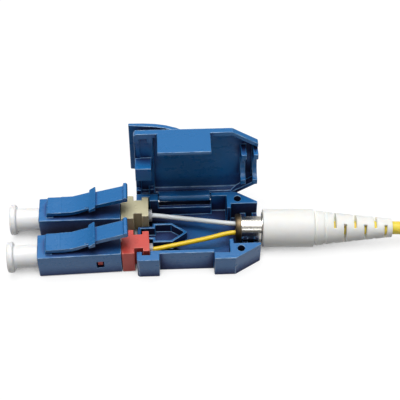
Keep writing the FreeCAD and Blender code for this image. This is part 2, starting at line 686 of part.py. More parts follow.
def make_spring():
    """The ferrule's coil spring, between the holder and the rear body."""
    x0 = holder_x() + HOLDER_LEN + SPRING_WIRE + SPRING_GAP
    x1 = spring_seat_x() - SPRING_WIRE - SPRING_GAP
    helix = Part.makeHelix((x1 - x0) / SPRING_TURNS, x1 - x0, SPRING_R)
    corners = [Vec(SPRING_R + x, 0, z) for x, z in ((SPRING_WIRE, 0), (0, SPRING_WIRE), (-SPRING_WIRE, 0),
                                                    (0, -SPRING_WIRE))]
    section = Part.makePolygon(corners + corners[:1])
    coil = Part.Wire(helix.Edges).makePipeShell([section], True, True)
    coil.rotate(Vec(0, 0, 0), Vec(0, 1, 0), 90)
    coil.translate(Vec(x0, 0, PLUG_MID))
    return coil


def make_sleeve():
    """The grey lead-in sleeve behind the flange."""
    x0 = sleeve_x()
    return rod(SLEEVE_R, x0, x0 + SLEEVE_LEN, 0, PLUG_MID).cut(
        rod(TUBE_R + SEAT_GAP, x0 - 1, x0 + SLEEVE_LEN + 1, 0, PLUG_MID))


def cap_outside():
    """The visible part of a dust cap, as (x, radius) points from its rim to the plug's face."""
    out = -PLUG_LEN - CAP_OUT
    return [(out - CAP_RIM, CAP_RIM_R - CAP_EDGE), (out - CAP_RIM + CAP_EDGE, CAP_RIM_R),
            (out - CAP_EDGE / 2, CAP_RIM_R), (out, CAP_RIM_R - CAP_EDGE / 2), (out, CAP_R)]


def make_cap():
    """The dust cap: rim, grip, and a hollow nose in the plug's mouth, clear of the ferrule."""
    face = -PLUG_LEN
    end = face + CAP_NOSE
    body = turned([(cap_outside()[0][0], 0)] + cap_outside() + [
        (face, CAP_R), (face, CAP_NOSE_R), (end - CAP_EDGE, CAP_NOSE_R), (end, CAP_NOSE_R - CAP_EDGE),
        (end, 0)], 0, PLUG_MID)
    return body.cut(rod(CAP_BORE_R, face - FERRULE_OUT - CAP_DEPTH, end + 1, 0, PLUG_MID))


# ---- fibre tubes --------------------------------------------------------------------------------
def arc_path(points):
    """Straight runs joined by tangent arcs, each as large as its two runs allow."""
    pts = [Vec(*p) for p in points]
    edges, at, radii = [], pts[0], []
    for a, b, c in zip(pts, pts[1:], pts[2:]):
        u, w = (b - a).normalize(), (c - b).normalize()
        turn = u.getAngle(w)
        leg = 0.45 * min((b - a).Length, (c - b).Length)
        start, end = b - u * leg, b + w * leg
        radii.append(leg / math.tan(turn / 2))
        toward = (w - u).normalize()
        middle = b + toward * (radii[-1] * (1 / math.cos(turn / 2) - 1))
        edges += [Part.LineSegment(at, start).toShape(), Part.Arc(start, middle, end).toShape()]
        at = end
    edges.append(Part.LineSegment(at, pts[-1]).toShape())
    return Part.Wire(edges), radii


def tube(points, r, label):
    """A round solid along a route, with its radii and length printed."""
    path, radii = arc_path(points)
    u = Vec(*points[1]) - Vec(*points[0])
    section = Part.Wire(Part.makeCircle(r, Vec(*points[0]), u))
    solid = path.makePipeShell([section], True, False)
    ratio = solid.Volume / (math.pi * r * r * path.Length)
    bends = [round(radius, 1) for radius in radii]
    print(f"{label}: length {path.Length:.1f}, volume ratio {ratio:.4f}, bend radii {bends}")
    return solid


def plug_point(name, x, y=0.0, z=PLUG_MID):
    """A point of a plug's own frame, in the part's frame."""
    px, py, yaw = PLACES[name]
    a = math.radians(yaw)
    return (px + x * math.cos(a) - y * math.sin(a), py + x * math.sin(a) + y * math.cos(a), PLUG_LIFT + z)


def post_point(x, y=0.0):
    """A point on the post's plane, x along its axis from the tray's frame, in the part's frame."""
    a = math.radians(POST_YAW)
    dx = x - POST_X
    return (POST_X + dx * math.cos(a) - y * math.sin(a), dx * math.sin(a) + y * math.cos(a), AXIS_Z)


def make_fibre_tube(name, way):
    """A fibre tube from a plug's sleeve into the crimp post; way is 1 on the hinge side, else -1."""
    sleeve = sleeve_x()
    route = [plug_point(name, sleeve + SEAM), plug_point(name, sleeve + SLEEVE_LEN + TUBE_LEAD)]
    bend_x, bend_y, bend_z = TUBE_BEND
    route.append((bend_x, way * bend_y, bend_z))
    route.append(post_point(POST_X - TUBE_MOUTH, way * TUBE_APART))
    route.append(post_point(BOOT_X + STEM_LEN - TUBE_LEAD, way * (TUBE_R + SEAT_GAP)))
    return tube(route, TUBE_R, "fibre_tube_" + name)


# ---- post, sleeve and boot, with their axis on X and the boot's face at x = 0 -------------------------
def post_barrel():
    """The post's outside in front of the boot, as (x, radius) points: flange, barrel and thin rim."""
    x0 = -POST_LEN
    x1 = x0 + POST_FLANGE
    return [(x0, POST_FLANGE_R - POST_EDGE), (x0 + POST_EDGE, POST_FLANGE_R), (x1, POST_FLANGE_R),
            (x1, POST_R), (-POST_RIM, POST_R), (-POST_RIM, POST_RIM_R), (0, POST_RIM_R)]


def make_post():
    """The nickel crimp post, with the stem that the crimp sleeve is pressed on."""
    return turned([(-POST_LEN, POST_BORE)] + post_barrel() + [
        (0, STEM_R), (STEM_LEN, STEM_R), (STEM_LEN, POST_BORE)])


def make_crimp():
    """The crimp sleeve over the post's stem and the cable's end."""
    inner = STEM_R + SEAT_GAP
    cable = CABLE_R + SEAT_GAP
    step = STEM_LEN + SEAM
    waist = cable + CRIMP_R - inner
    return turned([(LID_GAP, inner), (LID_GAP, CRIMP_R), (step + CRIMP_STEP, CRIMP_R),
                   (step + 2 * CRIMP_STEP, waist), (CRIMP_LEN, waist), (CRIMP_LEN, cable),
                   (step + CRIMP_STEP, cable), (step, inner)])


def boot_slot(index):
    """One pair of opposite slots down to the cable, turned a quarter from the pair before."""
    x = SLOT_FIRST + index * SLOT_PITCH
    half = math.radians(SLOT_HALF_DEG)
    y, z = BOOT_R * 2 * math.sin(half), BOOT_R * 2 * math.cos(half)
    pair = []
    for turn in (0, 180):
        wedge = across([(0, 0), (y, z), (0, BOOT_R * 2), (-y, z)], x - SLOT_W / 2, x + SLOT_W / 2)
        wedge.rotate(Vec(0, 0, 0), Vec(1, 0, 0), turn + SLOT_ROLL + 90 * (index % 2))
        pair.append(wedge)
    return pair


def boot_radius(x):
    """The taper's radius at a distance from the boot's front."""
    top = BOOT_R - BOOT_STEP
    share = (x - BOOT_STRAIGHT) / (BOOT_LEN - BOOT_STRAIGHT)
    return top + (BOOT_END_R - top) * share


def boot_outside():
    """The boot's outside as (x, radius) points: straight grip, step and grooved taper."""
    outer = [(0, BOOT_R - BOOT_EDGE), (BOOT_EDGE, BOOT_R), (BOOT_STRAIGHT, BOOT_R)]
    for i in range(BOOT_GROOVES):
        x = BOOT_STRAIGHT + i * GROOVE_PITCH
        outer += [(x, boot_radius(x)), (x + GROOVE_W / 2, boot_radius(x) - GROOVE_D),
                  (x + GROOVE_W, boot_radius(x + GROOVE_W))]
    return outer + [(BOOT_LEN, BOOT_END_R)]


def make_boot():
    """The strain-relief boot over the crimp sleeve, with a slotted taper."""
    bore = CABLE_R + SEAT_GAP
    seat = CRIMP_R + SEAT_GAP
    inner = [(BOOT_LEN, bore), (BOOT_BORE_LEN, bore), (BOOT_BORE_LEN, seat), (0, seat)]
    slots = [notch for index in range(SLOT_COUNT) for notch in boot_slot(index)]
    return turned(boot_outside() + inner).cut(slots)


def make_cable_core():
    """The cable's end inside the boot and the crimp sleeve."""
    return rod(CABLE_R, STEM_LEN + TUBE_LEAD, BOOT_LEN)


def on_post(shape):
    """A shape in the boot's frame, moved to its place on the connector."""
    x, y, z = post_point(BOOT_X)
    return moved(shape, x, y, z, POST_YAW)


# ---- hank, ties and the cord's far end -----------------------------------------------------------
def stadium(r, z0, z1):
    """A solid with straight sides and round ends, as wide as the hank's loops at radius r."""
    x1 = HANK_X + HANK_RUN
    ends = [Part.makeCylinder(r, z1 - z0, Vec(x, HANK_Y, z0)) for x in (HANK_X, x1)]
    return joined(block(HANK_X, x1, HANK_Y - r, HANK_Y + r, z0, z1), *ends)


def make_hank():
    """The outer shape of the put-away cable, two turns wide and two high."""
    hole = stadium(HANK_MEAN_R - HANK_HALF, HANK_Z - 1, HANK_TOP + 1)
    return stadium(HANK_MEAN_R + HANK_HALF, HANK_Z, HANK_TOP).cut(hole)


def make_tie(way):
    """A strap round one bundle of the hank, with its buckle; way is 1 or -1 across the hank."""
    y = HANK_Y + way * HANK_MEAN_R
    x = HANK_X + HANK_RUN / 2
    half = HANK_HALF + TIE_T
    outer = block(x, x + TIE_W, y - half, y + half, 0, HANK_TOP + TIE_T)
    outer = outer.makeChamfer(TIE_CORNER, long_edges(outer))
    strap = outer.cut(block(x - 1, x + TIE_W + 1, y - HANK_HALF, y + HANK_HALF, HANK_Z, HANK_TOP))
    buckle = block(x - BUCKLE_OVER, x + TIE_W + BUCKLE_OVER, y - BUCKLE_W / 2, y + BUCKLE_W / 2,
                   HANK_TOP + TIE_T - SEAM, HANK_TOP + TIE_T + BUCKLE_H)
    return joined(strap, buckle)


def closed_room():
    """What is free in the far connector's shut housing: the plugs' necks and flanges, the post's seat."""
    pocket = block(POCKET_X0, POCKET_X1, -POCKET_HALF, POCKET_HALF, FLOOR, NECK_ROOF)
    mouths = [block(X_FRONT - 1, POCKET_X0 + SEAM, y, y + SLOT_HALF - TENON_HALF, FLOOR, NECK_ROOF)
              for y in (-SLOT_HALF, TENON_HALF)]
    return joined(pocket, *mouths).fuse(rod(POST_R + SEAT_GAP, POST_X, X_REAR + 1, 0, AXIS_Z))


def closed_lid():
    """The far connector's lid, which stays shut and is solid inside."""
    return joined(lid_shell().cut(closed_room()), lid_flap(), trigger_foot(), lid_knuckle())


def closed_plug():
    """A far plug with its latch in one piece; its bore is hidden by the dust cap."""
    recess = snap_window(WINDOW_W, WINDOW_H, -PLUG, PLUG).cut(
        snap_window(WINDOW_W, WINDOW_H, WINDOW_DEPTH - PLUG_MID, PLUG_MID - WINDOW_DEPTH))
    return joined(housing_block().cut(recess), tongue_root(), make_lever())


def closed_cap():
    """A far dust cap, without its hidden nose."""
    points = cap_outside()
    return turned([(points[0][0], 0)] + points + [(-PLUG_LEN, CAP_R), (-PLUG_LEN, 0)], 0, PLUG_MID)


def closed_post():
    """The far crimp post's barrel, up to the boot."""
    return rod(POST_R, -POST_LEN, 0)


def closed_boot():
    """The far boot, without slots and grooves, and bored for the cable's end only."""
    outer = [(0, BOOT_R - BOOT_EDGE), (BOOT_EDGE, BOOT_R), (BOOT_STRAIGHT, BOOT_R),
             (BOOT_STRAIGHT, boot_radius(BOOT_STRAIGHT)), (BOOT_LEN, BOOT_END_R)]
    return turned([(0, 0)] + outer + [(BOOT_LEN, 0)]).cut(far_cable_end())


def far_cable_end():
    """The cable's end inside the far boot."""
    return rod(CABLE_R, BOOT_BORE_LEN, BOOT_LEN)


def at_far_end(shape):
    """A shape of the connector's own frame, moved to the cord's far end and facing the other way."""
    return moved(shape, FAR_TAIL_X + BOOT_X + BOOT_LEN, 0, 0, 180)


def straight_boot(shape):
    """A shape in the boot's frame, on the far connector's own axis."""
    return at_far_end(moved(shape, BOOT_X, 0, AXIS_Z))


def far_end(nodes):
    """The shut connector on the cord's far end, in the same outer shapes."""
    nodes["far_tray"] = at_far_end(tray_shell(closed_room()))
    nodes["far_lid"] = at_far_end(closed_lid())
    nodes["far_trigger"] = at_far_end(make_trigger())
    for name, way in (("a", 1), ("b", -1)):
        makers = {"far_plug_": closed_plug, "far_rear_body_": rear_block, "far_dust_cap_": closed_cap}
        for node, make in makers.items():
            nodes[node + name] = at_far_end(moved(make(), PLACES["a"][0], way * FAR_PLUG_Y, PLUG_LIFT))
    nodes["far_crimp_post"] = straight_boot(closed_post())
    nodes["far_boot"] = straight_boot(closed_boot())
    nodes["far_cable_end"] = straight_boot(far_cable_end())


# ---- assembly -------------------------------------------------------------------------------------
def opened(shape):
    """A lid part swung to its open place at rest."""
    copy = shape.copy()
    copy.rotate(Vec(0, HINGE_Y, HINGE_Z), Vec(1, 0, 0), -OPEN_DEG)
    return copy


def near_end(nodes):
    """The open connector."""
    makers = {"plug_housing_": make_housing, "latch_lever_": make_lever, "rear_body_": make_rear_body,
              "ferrule_": make_ferrule, "ferrule_holder_": make_holder, "ferrule_spring_": make_spring,
              "lead_sleeve_": make_sleeve, "dust_cap_": make_cap}
    nodes["tray"] = make_tray()
    nodes["lid"] = opened(make_lid())
    nodes["release_trigger"] = opened(make_trigger())
    for name, (x, y, yaw) in PLACES.items():
        for node, make in makers.items():
            nodes[node + name] = moved(make(), x, y, PLUG_LIFT, yaw)
        nodes["fibre_tube_" + name] = make_fibre_tube(name, 1 if y > 0 else -1)
    nodes["crimp_post"] = on_post(make_post())
    nodes["crimp_sleeve"] = on_post(make_crimp())
    nodes["boot"] = on_post(make_boot())
    nodes["cable_end"] = on_post(make_cable_core())


def cord(nodes):
    """The cable between the two connectors: two free stretches and the tied hank."""
    hank = make_hank()
    near_route = [post_point(BOOT_X + BOOT_LEN)] + NEAR_ROUTE
    nodes["cable_run_near"] = tube(near_route, CABLE_R, "cable_run_near").cut(hank)
    nodes["cable_hank"] = hank
    nodes["cable_run_far"] = tube(FAR_ROUTE, CABLE_R, "cable_run_far").cut(hank)
    nodes["hank_tie_a"] = make_tie(1)
    nodes["hank_tie_b"] = make_tie(-1)


def build():
    """Every node's solid, by name."""
    nodes = {}
    near_end(nodes)
    cord(nodes)
    far_end(nodes)
    return nodes


def main():
    """Write one STEP file per node."""
    os.makedirs("parts", exist_ok=True)
    for name, shape in build().items():
        solids = shape.Solids
        if not solids or not shape.isValid():
            print("check", name, len(solids), shape.isValid())
        solid = solids[0] if len(solids) == 1 else Part.makeCompound(solids)
        solid.exportStep("parts/" + name + ".step")


main()
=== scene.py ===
"""Visual model of a duplex fibre connector with its hinged housing open, on its patch cord.

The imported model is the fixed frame. Sub-assemblies are classes whose sizes are dataclass fields in
metres, and each finish is a frozen dataclass that builds its own procedural material.
"""
import itertools
import json
import logging
import math
from dataclasses import dataclass, field, replace
from enum import Enum
from typing import Callable, Iterable, Sequence

import bmesh
import bpy
from mathutils import Matrix, Vector

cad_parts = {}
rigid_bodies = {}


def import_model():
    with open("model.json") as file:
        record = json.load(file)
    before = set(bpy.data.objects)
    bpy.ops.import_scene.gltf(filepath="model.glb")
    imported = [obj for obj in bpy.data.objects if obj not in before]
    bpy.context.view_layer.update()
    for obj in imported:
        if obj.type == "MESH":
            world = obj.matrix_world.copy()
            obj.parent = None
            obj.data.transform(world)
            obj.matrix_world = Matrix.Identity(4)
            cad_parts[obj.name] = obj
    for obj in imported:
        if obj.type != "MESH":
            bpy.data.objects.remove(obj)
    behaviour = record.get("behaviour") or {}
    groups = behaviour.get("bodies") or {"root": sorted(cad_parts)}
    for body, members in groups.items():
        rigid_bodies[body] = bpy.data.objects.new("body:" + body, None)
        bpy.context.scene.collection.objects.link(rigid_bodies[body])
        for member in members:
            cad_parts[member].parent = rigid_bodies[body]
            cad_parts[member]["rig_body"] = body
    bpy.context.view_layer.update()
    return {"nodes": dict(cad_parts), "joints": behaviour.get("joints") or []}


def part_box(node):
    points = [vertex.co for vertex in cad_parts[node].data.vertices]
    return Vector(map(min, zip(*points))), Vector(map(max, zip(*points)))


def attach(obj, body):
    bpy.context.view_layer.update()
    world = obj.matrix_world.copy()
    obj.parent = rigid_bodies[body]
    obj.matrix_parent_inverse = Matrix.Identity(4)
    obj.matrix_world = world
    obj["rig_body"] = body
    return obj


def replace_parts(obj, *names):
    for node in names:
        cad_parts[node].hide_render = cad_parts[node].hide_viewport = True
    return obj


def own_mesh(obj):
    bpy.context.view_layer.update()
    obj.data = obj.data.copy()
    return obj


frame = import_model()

LOG = logging.getLogger("connector")
MM = 0.001
Colour = tuple[float, float, float, float]
Profile = Sequence[tuple[float, float]]


def srgb(red: int, green: int, blue: int) -> Colour:
    """A screen colour as the linear colour that shaders take.

    Args:
        red: Red, 0 to 255.
        green: Green, 0 to 255.
        blue: Blue, 0 to 255.

    Returns:
        The linear colour with an alpha of one.
    """
    def linear(value: int) -> float:
        """One channel as a linear share."""
        share = value / 255
        return share / 12.92 if share <= 0.04045 else ((share + 0.055) / 1.055) ** 2.4
    return linear(red), linear(green), linear(blue), 1.0


# ---- shaders --------------------------------------------------------------------------------------
class Graph:
    """A node tree with short ways to add nodes and join them."""

    def __init__(self, tree: bpy.types.NodeTree) -> None:
        """Take the tree to build in.

        Args:
            tree: A material's or a group's node tree.
        """
        self.tree = tree

    def add(self, kind: str, inputs: dict[str, object] | None = None, **settings: object) -> bpy.types.Node:
        """Add a node.

        Args:
            kind: The node type's name after "ShaderNode".
            inputs: Values or output sockets, by input name or number.
            **settings: Properties of the node itself.

        Returns:
            The new node.
        """
        node = self.tree.nodes.new("ShaderNode" + kind)
        for name, value in settings.items():
            setattr(node, name, value)
        for name, value in (inputs or {}).items():
            if isinstance(value, bpy.types.NodeSocket):
                self.tree.links.new(value, node.inputs[name])
            else:
                node.inputs[name].default_value = value
        return node

    def ramp(self, value: bpy.types.NodeSocket, stops: Profile) -> bpy.types.NodeSocket:
        """A grey ramp.

        Args:
            value: The socket to map.
            stops: Positions and grey levels.

        Returns:
            The mapped value.
        """
        node = self.add("ValToRGB", {"Fac": value})
        elements = node.color_ramp.elements
        for element, (place, grey) in zip(elements, (stops[0], stops[-1])):
            element.position = place
            element.color = (grey, grey, grey, 1)
        for place, grey in stops[1:-1]:
            elements.new(place).color = (grey, grey, grey, 1)
        return node.outputs["Color"]

    def blend(self, share: object, first: object, second: object, way: str = "MIX") -> bpy.types.NodeSocket:
        """A mix of two colours.

        Args:
            share: How much of the second, as a number or socket.
            first: The first colour or socket.
            second: The second.
            way: The Mix node's blend type.

        Returns:
            The mixed colour.
        """
        node = self.add("Mix", {"Factor": share, "A": first, "B": second}, data_type="RGBA", blend_type=way)
        return node.outputs["Result"]

    def bump(self, height: bpy.types.NodeSocket, strength: float, relief: float) -> bpy.types.NodeSocket:
        """A bumped normal.

        Args:
            height: The height to follow.
            strength: How strongly.
            relief: The height of a whole unit, in metres.

        Returns:
            The normal.
        """
        node = self.add("Bump", {"Height": height, "Strength": strength, "Distance": relief})
        return node.outputs[0]

    def place(self) -> bpy.types.NodeSocket:
        """Object coordinates."""
        return self.add("TexCoord").outputs["Object"]

    def noise(self, place: bpy.types.NodeSocket, scale: object, detail: float) -> bpy.types.NodeSocket:
        """A noise pattern.

        Args:
            place: The coordinates to follow.
            scale: Its scale, as a number or socket.
            detail: Its octaves.

        Returns:
            The pattern's value.
        """
        return self.add("TexNoise", {"Vector": place, "Scale": scale, "Detail": detail}).outputs["Fac"]

    def maths(self, operation: str, *values: object) -> bpy.types.NodeSocket:
        """A Math node's result.

        Args:
            operation: The Math node's operation.
            *values: Numbers or sockets.

        Returns:
            The result.
        """
        return self.add("Math", dict(enumerate(values)), operation=operation).outputs[0]


def clean_graph(owner: bpy.types.Material | bpy.types.World) -> Graph:
    """A material's or the world's node tree, emptied."""
    owner.use_nodes = True
    owner.node_tree.nodes.clear()
    return Graph(owner.node_tree)


def shader_group(name: str, sockets: Sequence[tuple[str, str, str]],
                 fill: Callable[[Graph, bpy.types.Node, bpy.types.Node], None]) -> bpy.types.NodeTree:
    """Make a node group once.

    Args:
        name: The group's name.
        sockets: Name, direction and type of each socket.
        fill: Builds the inside from the graph and the group's two end nodes.

    Returns:
        The group.
    """
    found = bpy.data.node_groups.get(name)
    if found:
        return found
    tree = bpy.data.node_groups.new(name, "ShaderNodeTree")
    for label, way, kind in sockets:
        tree.interface.new_socket(label, in_out=way, socket_type="NodeSocket" + kind)
    fill(Graph(tree), tree.nodes.new("NodeGroupInput"), tree.nodes.new("NodeGroupOutput"))
    return tree


def moulded_skin_and_corner_shade() -> bpy.types.NodeTree:
    """The surface that moulded plastics share: faint mottling, fine grain, flow streaks and painted shade in
    deep corners.

    Returns:
        The node group.
    """
    flow_stretch, flow_scale = 0.12, 900.0
    # how far the painted corner shade reaches, how much it saturates the colour and how much it dulls the
    # sheen
    painted_shade_reach, painted_shade_saturation, painted_shade_roughness = 3.5 * MM, 1.7, 0.7
    mottle_roughness = 0.06

    def fill(graph: Graph, start: bpy.types.Node, end: bpy.types.Node) -> None:
        """Build the inside of the group.

        Args:
            graph: The group's graph.
            start: Its input node.
            end: Its output node.
        """
        given = start.outputs
        place = graph.place()
        mottle = graph.noise(place, given["Mottle Scale"], 3.0)
        grain = graph.noise(place, given["Grain Scale"], 2.0)
        stretched = graph.add("Mapping", {"Vector": place, "Scale": (flow_stretch, 1.0, 1.0)})
        streak = graph.noise(stretched.outputs[0], flow_scale, 2.0)
        shade = graph.ramp(mottle, [(0.3, 0.0), (0.7, 1.0)])
        fleck = graph.ramp(streak, [(0.35, 0.0), (0.75, 1.0)])
        plain = graph.blend(shade, given["Colour"], given["Shade"])
        # Painted shade: where the Ambient Occlusion node finds a closed corner, the colour goes towards a
        # more saturated tone and then towards black, and the roughness rises
        open_air = graph.add("AmbientOcclusion", {"Distance": painted_shade_reach}, samples=8)
        depth = graph.ramp(open_air.outputs["AO"], [(0.0, 1.0), (0.5, 0.8), (0.88, 0.0)])
        painted_shade = graph.maths("MULTIPLY", depth, given["Painted Corner Shade"])
        own_light = graph.blend(1.0, plain, plain, "MULTIPLY")
        rich = graph.blend(graph.maths("MULTIPLY", painted_shade, painted_shade_saturation), plain, own_light)
        deep = graph.blend(graph.maths("MULTIPLY", painted_shade, painted_shade), rich, (0.0, 0.0, 0.0, 1.0))
        flow = graph.maths("MULTIPLY", fleck, given["Streak"])
        low = graph.maths("MULTIPLY", shade, mottle_roughness)
        rough = graph.maths("ADD", graph.maths("ADD", given["Roughness"], low), flow)
        matt = graph.maths("ADD", rough, graph.maths("MULTIPLY", painted_shade, painted_shade_roughness))
        for value, name in ((deep, "Colour"), (matt, "Roughness"), (grain, "Height")):
            graph.tree.links.new(value, end.inputs[name])

    amounts = ("Roughness", "Mottle Scale", "Grain Scale", "Streak", "Painted Corner Shade")
    return shader_group("moulded_skin_and_corner_shade", [
        ("Colour", "INPUT", "Color"), ("Shade", "INPUT", "Color"),
        *((name, "INPUT", "Float") for name in amounts), ("Colour", "OUTPUT", "Color"),
        ("Roughness", "OUTPUT", "Float"), ("Height", "OUTPUT", "Float")], fill)


def dimmed(colour: Colour, shares: Sequence[float]) -> Colour:
    """A colour with each channel taken down by its own share."""
    red, green, blue = (channel * share for channel, share in zip(colour, shares))
    return red, green, blue, 1.0


@dataclass(frozen=True)
class Finish:
    """What every finish has: a name, the record's slot and a main colour."""

    name: str
    slot: str
    colour: Colour

    def material(self) -> bpy.types.Material:
        """The finish's material, built the first time it is asked for.

        Returns:
            The material.
        """
        found = bpy.data.materials.get(self.name)
        if found:
            return found
        made = bpy.data.materials.new(self.name)
        made.diffuse_color = self.colour
        graph = clean_graph(made)
        graph.add("OutputMaterial", {"Surface": self.surface(graph).outputs[0]})
        return made

    def surface(self, graph: Graph) -> bpy.types.Node:
        """Build the shader.

        Args:
            graph: The material's graph.

        Returns:
            The node whose first output is the surface.
        """
        raise NotImplementedError


@dataclass(frozen=True)
class MouldedPlastic(Finish):
    """Injection-moulded plastic with a fine grain."""

    # the mottle's second tone, and the colour painted on faces that don't look up and sideways, a painted
    # shade
    shade: Colour = (0, 0, 0, 1)
    roughness: float = 0.38
    grain: float = 0.08
    grain_scale: float = 16000.0
    grain_height: float = 0.02 * MM
    mottle_scale: float = 700.0
    streak: float = 0.06
    # how strongly closed corners are darkened, a painted shade
    painted_corner_shade: float = 0.0
    # the colour of the rounded edges, a painted highlight
    edge: Colour | None = None
    glow: float = 0.0
    glow_colour: tuple[float, float, float] = (1.0, 0.9, 0.8)
    depth: float = 0.35 * MM
    density: float = 1.5

    def painted_highlight_finish(self) -> "MouldedPlastic":
        """The paler finish of this plastic's rounded edges, a painted highlight where they look up and
        sideways.
        """
        return replace(self, name=self.name + "_edge", colour=self.edge, painted_corner_shade=0.0, edge=None)

    def surface(self, graph: Graph) -> bpy.types.Node:
        """A Principled shader over the moulded skin and its painted corner shade. Faces that look up and
        sideways take the full colour and the rest take the shade colour, a painted light that makes the edge
        finish a painted highlight.

        Args:
            graph: The material's graph.

        Returns:
            The shader.
        """
        skin = graph.add("Group", {"Shade": self.shade, "Roughness": self.roughness,
                                   "Mottle Scale": self.mottle_scale, "Grain Scale": self.grain_scale,
                                   "Streak": self.streak, "Painted Corner Shade": self.painted_corner_shade}, node_tree=moulded_skin_and_corner_shade())
        # Painted light: the full colour where a face looks up and sideways, the shade colour elsewhere
        facing = graph.add("SeparateXYZ", {"Vector": graph.add("TexCoord").outputs["Normal"]})
        sideways = graph.maths("ABSOLUTE", facing.outputs["Y"])
        painted_light_mask = graph.ramp(graph.maths("MINIMUM", facing.outputs["Z"], sideways), [(0.05, 0.0), (0.4, 1.0)])
        graph.tree.links.new(graph.blend(painted_light_mask, self.shade, self.colour), skin.inputs["Colour"])
        grain = graph.bump(skin.outputs["Height"], self.grain, self.grain_height)
        return graph.add("BsdfPrincipled", {
            "Base Color": skin.outputs["Colour"], "Roughness": skin.outputs["Roughness"], "Normal": grain,
            "IOR": self.density, "Subsurface Weight": self.glow, "Subsurface Radius": self.glow_colour,
            "Subsurface Scale": self.depth})


@dataclass(frozen=True)
class PlatedMetal(Finish):
    """Turned metal under bright plating, with fine lathe lines round its axis."""

    roughness: float = 0.2
    lines: float = 0.15
    line_scale: float = 9000.0
    line_height: float = 0.02 * MM
    cloud_scale: float = 500.0
    cloud_colour: float = 0.78
    cloud_roughness: float = 0.10
    tarnish: Colour = (0.35, 0.32, 0.27, 1)
    tarnish_from: float = -1.0
    tarnish_to: float = -0.99
    tarnish_roughness: float = 0.2

    def surface(self, graph: Graph) -> bpy.types.Node:
        """A metallic shader with turned lines, faint clouds and a tarnished end.

        Args:
            graph: The material's graph.

        Returns:
            The shader.
        """
        place = graph.place()
        across = graph.add("Mapping", {"Vector": place, "Scale": (1.0, 0.02, 0.02)})
        turned = graph.noise(across.outputs[0], self.line_scale, 3.0)
        dull = graph.ramp(graph.noise(place, self.cloud_scale, 4.0), [(0.35, 0.0), (0.75, 1.0)])
        plated = graph.blend(dull, self.colour, dimmed(self.colour, (self.cloud_colour,) * 3))
        along = graph.add("SeparateXYZ", {"Vector": place}).outputs["X"]
        zone = graph.add("MapRange", {"Value": along, "From Min": self.tarnish_from,
                                      "From Max": self.tarnish_to, "To Min": 1.0, "To Max": 0.0}).outputs[0]
        worn = graph.maths("ADD", graph.maths("MULTIPLY", dull, self.cloud_roughness), self.roughness)
        rough = graph.maths("ADD", graph.maths("MULTIPLY", zone, self.tarnish_roughness), worn)
        return graph.add("BsdfPrincipled", {
            "Base Color": graph.blend(zone, plated, self.tarnish), "Metallic": 1.0, "Roughness": rough,
            "Normal": graph.bump(turned, self.lines, self.line_height)})


@dataclass(frozen=True)
class CableJacket(Finish):
    """Extruded cable jacket: satin, with a fine skin and soft mottling."""

    roughness: float = 0.42
    warm: tuple[float, float, float] = (0.98, 0.93, 0.86)
    cloud_scale: float = 420.0
    cloud_roughness: float = 0.08
    skin: float = 0.12
    skin_scale: float = 12000.0
    skin_height: float = 0.02 * MM
    glow: float = 0.4
    glow_colour: tuple[float, float, float] = (1.0, 0.5, 0.15)
    depth: float = 0.5 * MM
    density: float = 1.48

    def surface(self, graph: Graph) -> bpy.types.Node:
        """A Principled shader with slow colour change and a fine skin.

        Args:
            graph: The material's graph.

        Returns:
            The shader.
        """
        place = graph.place()
        change = graph.ramp(graph.noise(place, self.cloud_scale, 3.0), [(0.3, 0.0), (0.7, 1.0)])
        fine = graph.noise(place, self.skin_scale, 2.0)
        tint = graph.blend(change, self.colour, dimmed(self.colour, self.warm))
        rough = graph.maths("ADD", graph.maths("MULTIPLY", change, self.cloud_roughness), self.roughness)
        return graph.add("BsdfPrincipled", {
            "Base Color": tint, "Roughness": rough,
            "Normal": graph.bump(fine, self.skin, self.skin_height), "IOR": self.density,
            "Subsurface Weight": self.glow, "Subsurface Radius": self.glow_colour,
            "Subsurface Scale": self.depth})


@dataclass(frozen=True)
class HookStrap(Finish):
    """Hook-and-loop strap: a matt pile of fine loops."""

    roughness: float = 0.85
    sheen: float = 0.4
    loop_scale: float = 5200.0
    loop_height: float = 0.06 * MM
    loops: float = 0.6

    def surface(self, graph: Graph) -> bpy.types.Node:
        """A rough sheen shader over a fine cell pattern.

        Args:
            graph: The material's graph.

        Returns:
            The shader.
        """
        cells = graph.add("TexVoronoi", {"Vector": graph.place(), "Scale": self.loop_scale})
        depth = graph.ramp(cells.outputs["Distance"], [(0.0, 1.0), (0.8, 0.0)])
        pale = tuple(min(1.0, channel * 2.4 + 0.01) for channel in self.colour[:3]) + (1.0,)
        return graph.add("BsdfPrincipled", {
            "Base Color": graph.blend(depth, self.colour, pale), "Roughness": self.roughness,
            "Normal": graph.bump(depth, self.loops, self.loop_height), "Sheen Weight": self.sheen})


